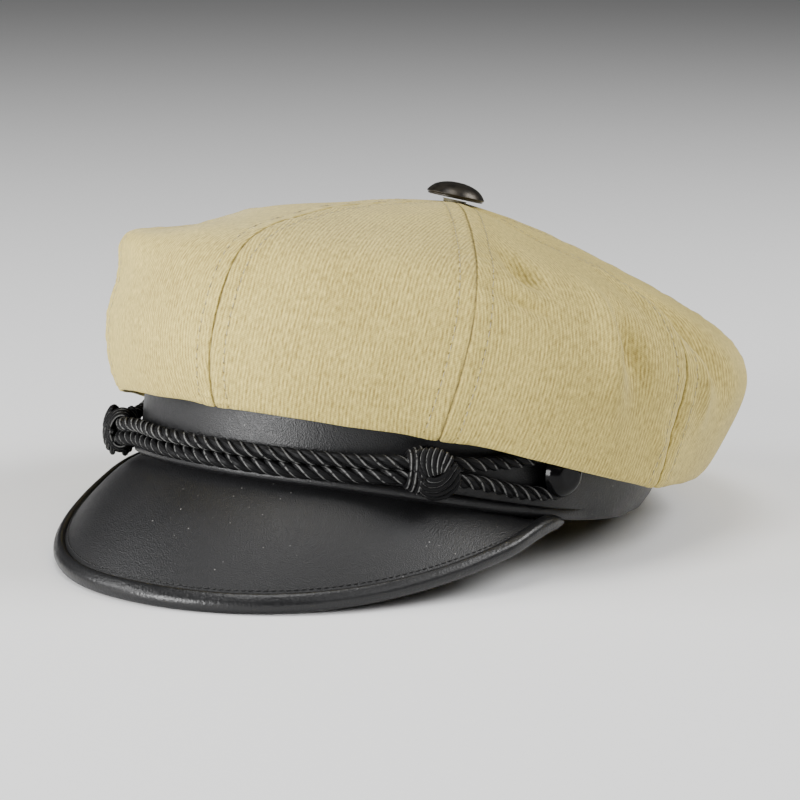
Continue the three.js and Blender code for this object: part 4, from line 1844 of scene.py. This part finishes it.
@dataclass
class Buttons:
    """The side buttons that hold the cord, and the top button on its shank."""

    band: Band
    cord: Cord
    crown: Crown
    diameter: float = 15.6
    dome: float = 3.6
    rim: float = 1.2
    crest_diameter: float = 20.8
    crest_dome: float = 4.4
    crest_rim: float = 1.6
    crest_lean: float = 7
    crest_lean_way: float = 135
    shank_diameter: float = 8.4
    shank_height: float = 1.2
    crest_foot: float = -0.5
    post_radius: float = 2.6
    post_foot: float = -6

    def stood(self, mesh: bmesh.types.BMesh, foot: Places, axis: Places, cap: CapFrame) -> None:
        """Moves a lathed piece to its place.

        Args:
            mesh: the piece, along Z from 0.
            foot: where its foot comes.
            axis: the direction that it stands in.
            cap: the band's frame.
        """
        turn = Vector((0, 0, 1)).rotation_difference(Vector(axis)).to_matrix().to_4x4()
        place = cap.matrix @ Matrix.Translation(Vector(foot)) @ turn
        bmesh.ops.transform(mesh, matrix=place, verts=mesh.verts)

    def build_side(self, side: Side, cap: CapFrame, gloss: bpy.types.Material) -> None:
        """Makes one side button.

        Args:
            side: the wearer's side that it is on.
            cap: the band's frame.
            gloss: its finish.
        """
        radius, shank = self.diameter / 2, self.cord.shank / 2
        seat = 2 * GAP + self.cord.diameter - 0.2
        shown = [
            (shank, seat),
            (radius * 0.82, seat - 0.1),
            (radius * 0.97, seat + 0.25),
            (radius, seat + 0.7),
            (radius * 0.975, seat + self.rim),
            (radius * 0.9, seat + self.rim + self.dome * 0.36),
            (radius * 0.77, seat + self.rim + self.dome * 0.7),
            (radius * 0.62, seat + self.rim + self.dome * 0.93),
            (radius * 0.5, seat + self.rim + self.dome * 0.99),
            (radius * 0.25, seat + self.rim + self.dome * 0.99),
            (0, seat + self.rim + self.dome),
        ]
        mesh = lathed([(0, GAP), (shank, GAP), *rounded(shown, 40)], 64)
        turn = math.radians(side.value * self.cord.button_turn)
        foot = self.band.point(turn, 0, self.cord.button_rise)
        self.stood(mesh, foot, self.band.normal(turn), cap)
        finished(f"gloss_button_{side.word}", mesh, gloss, [f"side_button_{side.word}"])

    def build_top(self, cap: CapFrame, bronze: Any, olive: Any) -> None:
        """Makes the top button and its shank.

        Args:
            cap: the band's frame.
            bronze: the button's finish.
            olive: the shank's.
        """
        lean, way = math.radians(self.crest_lean), math.radians(self.crest_lean_way)
        axis = np.array([math.sin(way), -math.cos(way), 0]) * math.sin(lean)
        axis[2] = math.cos(lean)
        foot = np.array([0, self.crown.crest_setback, self.crown.height])
        shank, post = self.shank_diameter / 2, self.post_radius
        top = self.crest_foot + self.shank_height
        spool = [
            (0, self.post_foot),
            (post, self.post_foot),
            (post, self.crest_foot),
            (shank * 0.9, self.crest_foot),
            (shank, self.crest_foot + 0.25),
            (shank * 0.9, top - 0.6),
            (shank * 1.04, top - 0.2),
            (shank, top),
            (0, top),
        ]
        mesh = lathed(spool, 48)
        self.stood(mesh, foot, axis, cap)
        finished("crest_shank", mesh, olive, ["top_button_shank"])
        radius, seat = self.crest_diameter / 2, top + GAP
        rim = seat + self.crest_rim
        cap_line = rounded(
            [
                (0, seat + 0.5),
                (radius * 0.5, seat + 0.45),
                (radius * 0.84, seat + 0.15),
                (radius * 0.95, seat + 0.35),
                (radius * 0.955, seat + 0.8),
                (radius * 0.985, seat + 0.95),
                (radius, seat + 1.25),
                (radius * 0.985, rim),
                (radius * 0.9, rim + self.crest_dome * 0.28),
                (radius * 0.74, rim + self.crest_dome * 0.6),
                (radius * 0.52, rim + self.crest_dome * 0.82),
                (radius * 0.26, rim + self.crest_dome * 0.96),
                (0, rim + self.crest_dome),
            ],
            72,
        )
        mesh = lathed(cap_line, 72)
        self.stood(mesh, foot, axis, cap)
        finished("bronze_button", mesh, bronze, ["top_button"])

    def build(self, cap: CapFrame, gloss: Any, bronze: Any, olive: Any) -> None:
        """Makes all three buttons.

        Args:
            cap: the band's frame.
            gloss: the side buttons' finish.
            bronze: the top button's.
            olive: its shank's.
        """
        for side in Side:
            self.build_side(side, cap, gloss)
        self.build_top(cap, bronze, olive)


@dataclass(frozen=True)
class Lamp:
    """A soft square light that faces the cap, in watts, metres and degrees."""

    name: str
    power: float
    size: float
    azimuth: float
    elevation: float
    distance: float = 1.5

    def build(self) -> None:
        """Adds the light."""
        turn, rise = math.radians(self.azimuth), math.radians(self.elevation)
        across = math.cos(rise)
        way = Vector((math.sin(turn) * across, -math.cos(turn) * across, math.sin(rise)))
        data = bpy.data.lights.new(self.name, "AREA")
        data.energy = self.power
        data.size = self.size
        lamp = bpy.data.objects.new(self.name, data)
        lamp.location = Vector((0, 0, 0.06)) + way * self.distance
        lamp.rotation_euler = way.to_track_quat("Z", "Y").to_euler()
        bpy.context.scene.collection.objects.link(lamp)


LAMPS = (
    Lamp("key", 14, 0.7, -52, 26),
    Lamp("low", 37, 0.6, -13, 8),
    Lamp("side", 24, 0.8, 128, 40, 1.6),
    Lamp("front", 5, 0.8, 70, 34),
    Lamp("top", 12, 0.7, 10, 80),
)


@dataclass
class Studio:
    """The camera, the pale floor and the surroundings."""

    azimuth: float = 35.62
    elevation: float = 4.77
    roll: float = 5.31
    distance: float = 1100
    target: tuple[float, float, float] = (0, -13.59, 31.94)
    pixels_per_mm: float = 2.86
    target_pixel: tuple[float, float] = (385.2, 395.4)
    sensor: float = 36
    backdrop: float = 0.7
    backdrop_light: float = 0.07

    def build_camera(self, cap: CapFrame) -> None:
        """Sets the camera, whose angles are measured in the band's own frame.

        Args:
            cap: the band's frame.
        """
        azimuth, elevation = math.radians(self.azimuth), math.radians(self.elevation)
        back = Vector(
            (
                math.sin(azimuth) * math.cos(elevation),
                -math.cos(azimuth) * math.cos(elevation),
                math.sin(elevation),
            )
        )
        right = Vector((math.cos(azimuth), math.sin(azimuth), 0))
        turned = Matrix((right, back.cross(right), back)).transposed().to_4x4()
        turned = turned @ Matrix.Rotation(math.radians(self.roll), 4, "Z")
        place = Vector(self.target) + back * self.distance
        matrix = cap.matrix @ Matrix.Translation(place) @ turned
        data = bpy.data.cameras.new("camera")
        data.sensor_width = self.sensor
        data.lens = self.sensor * self.pixels_per_mm * self.distance / PHOTO_WIDTH
        data.shift_x = (PHOTO_WIDTH / 2 - self.target_pixel[0]) / PHOTO_WIDTH
        data.shift_y = (self.target_pixel[1] - PHOTO_WIDTH / 2) / PHOTO_WIDTH
        camera = bpy.data.objects.new("camera", data)
        camera.matrix_world = Matrix.LocRotScale(matrix.to_translation(), matrix.to_quaternion(), None)
        bpy.context.scene.collection.objects.link(camera)
        bpy.context.scene.camera = camera

    def build_floor(self) -> None:
        """Makes the floor, a wide flat sheet."""
        graph = Graph("pale_floor")
        grain = graph.noise(graph.place(), 300, 3)
        color = graph.colors(grain, (0.86, 0.86, 0.86), (0.88, 0.88, 0.88))
        material = graph.surface({"Base Color": color, "Roughness": 0.9})
        mesh = bmesh.new()
        bmesh.ops.create_grid(mesh, x_segments=2, y_segments=2, size=4)
        data = bpy.data.meshes.new("floor")
        mesh.to_mesh(data)
        mesh.free()
        data.materials.append(material)
        floor = bpy.data.objects.new("floor", data)
        bpy.context.scene.collection.objects.link(floor)

    def build_surroundings(self) -> None:
        """Sets white surroundings, which are dimmer as a light than they look to the camera."""
        world = bpy.data.worlds.new("studio")
        world.use_nodes = True
        tree = world.node_tree
        background = tree.nodes["Background"]
        background.inputs["Color"].default_value = (1, 1, 1, 1)
        seen = tree.nodes.new("ShaderNodeMapRange")
        seen.inputs["To Min"].default_value = self.backdrop_light
        seen.inputs["To Max"].default_value = self.backdrop
        path = tree.nodes.new("ShaderNodeLightPath")
        tree.links.new(path.outputs["Is Camera Ray"], seen.inputs["Value"])
        tree.links.new(seen.outputs["Result"], background.inputs["Strength"])
        bpy.context.scene.world = world

    def build(self, cap: CapFrame) -> None:
        """Makes all of the studio.

        Args:
            cap: the band's frame.
        """
        self.build_camera(cap)
        self.build_floor()
        self.build_surroundings()
        for lamp in LAMPS:
            lamp.build()


def main() -> None:
    """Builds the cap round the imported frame."""
    logging.basicConfig(level=logging.INFO, format="%(name)s: %(message)s")
    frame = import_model()
    band = Band()
    cap = CapFrame.of_band(frame["nodes"]["head_band"], band.height)
    Studio().build(cap)

    leather = Leather().material()
    supple = Leather("binding_leather", grain=1100, depth=0.1 * MM, roughness=0.36, dusty=0.2)
    rayon = Rayon().material()
    gloss = Lacquer("black_gloss", (0.002, 0.002, 0.0022), 0.14, specular=0.13).material()
    bronze = Lacquer("dark_bronze", (0.04, 0.034, 0.026), 0.34, 0.7, (0.02, 0.017, 0.014)).material()
    olive = Lacquer("olive_shank", (0.15, 0.13, 0.065), 0.6).material()
    khaki_thread = Thread("khaki_thread", (0.5, 0.43, 0.25)).material()
    black_thread = Thread("black_thread", (0.012, 0.012, 0.012)).material()

    crown = Crown(band)
    crown.build(cap, Twill().material(), khaki_thread)
    band.build(cap, leather)
    Peak(band).build(cap, leather, supple.material(), black_thread)
    cord = Cord(band)
    cord.build(cap, rayon)
    Buttons(band, cord, crown).build(cap, gloss, bronze, olive)


if __name__ == "__main__":
    main()
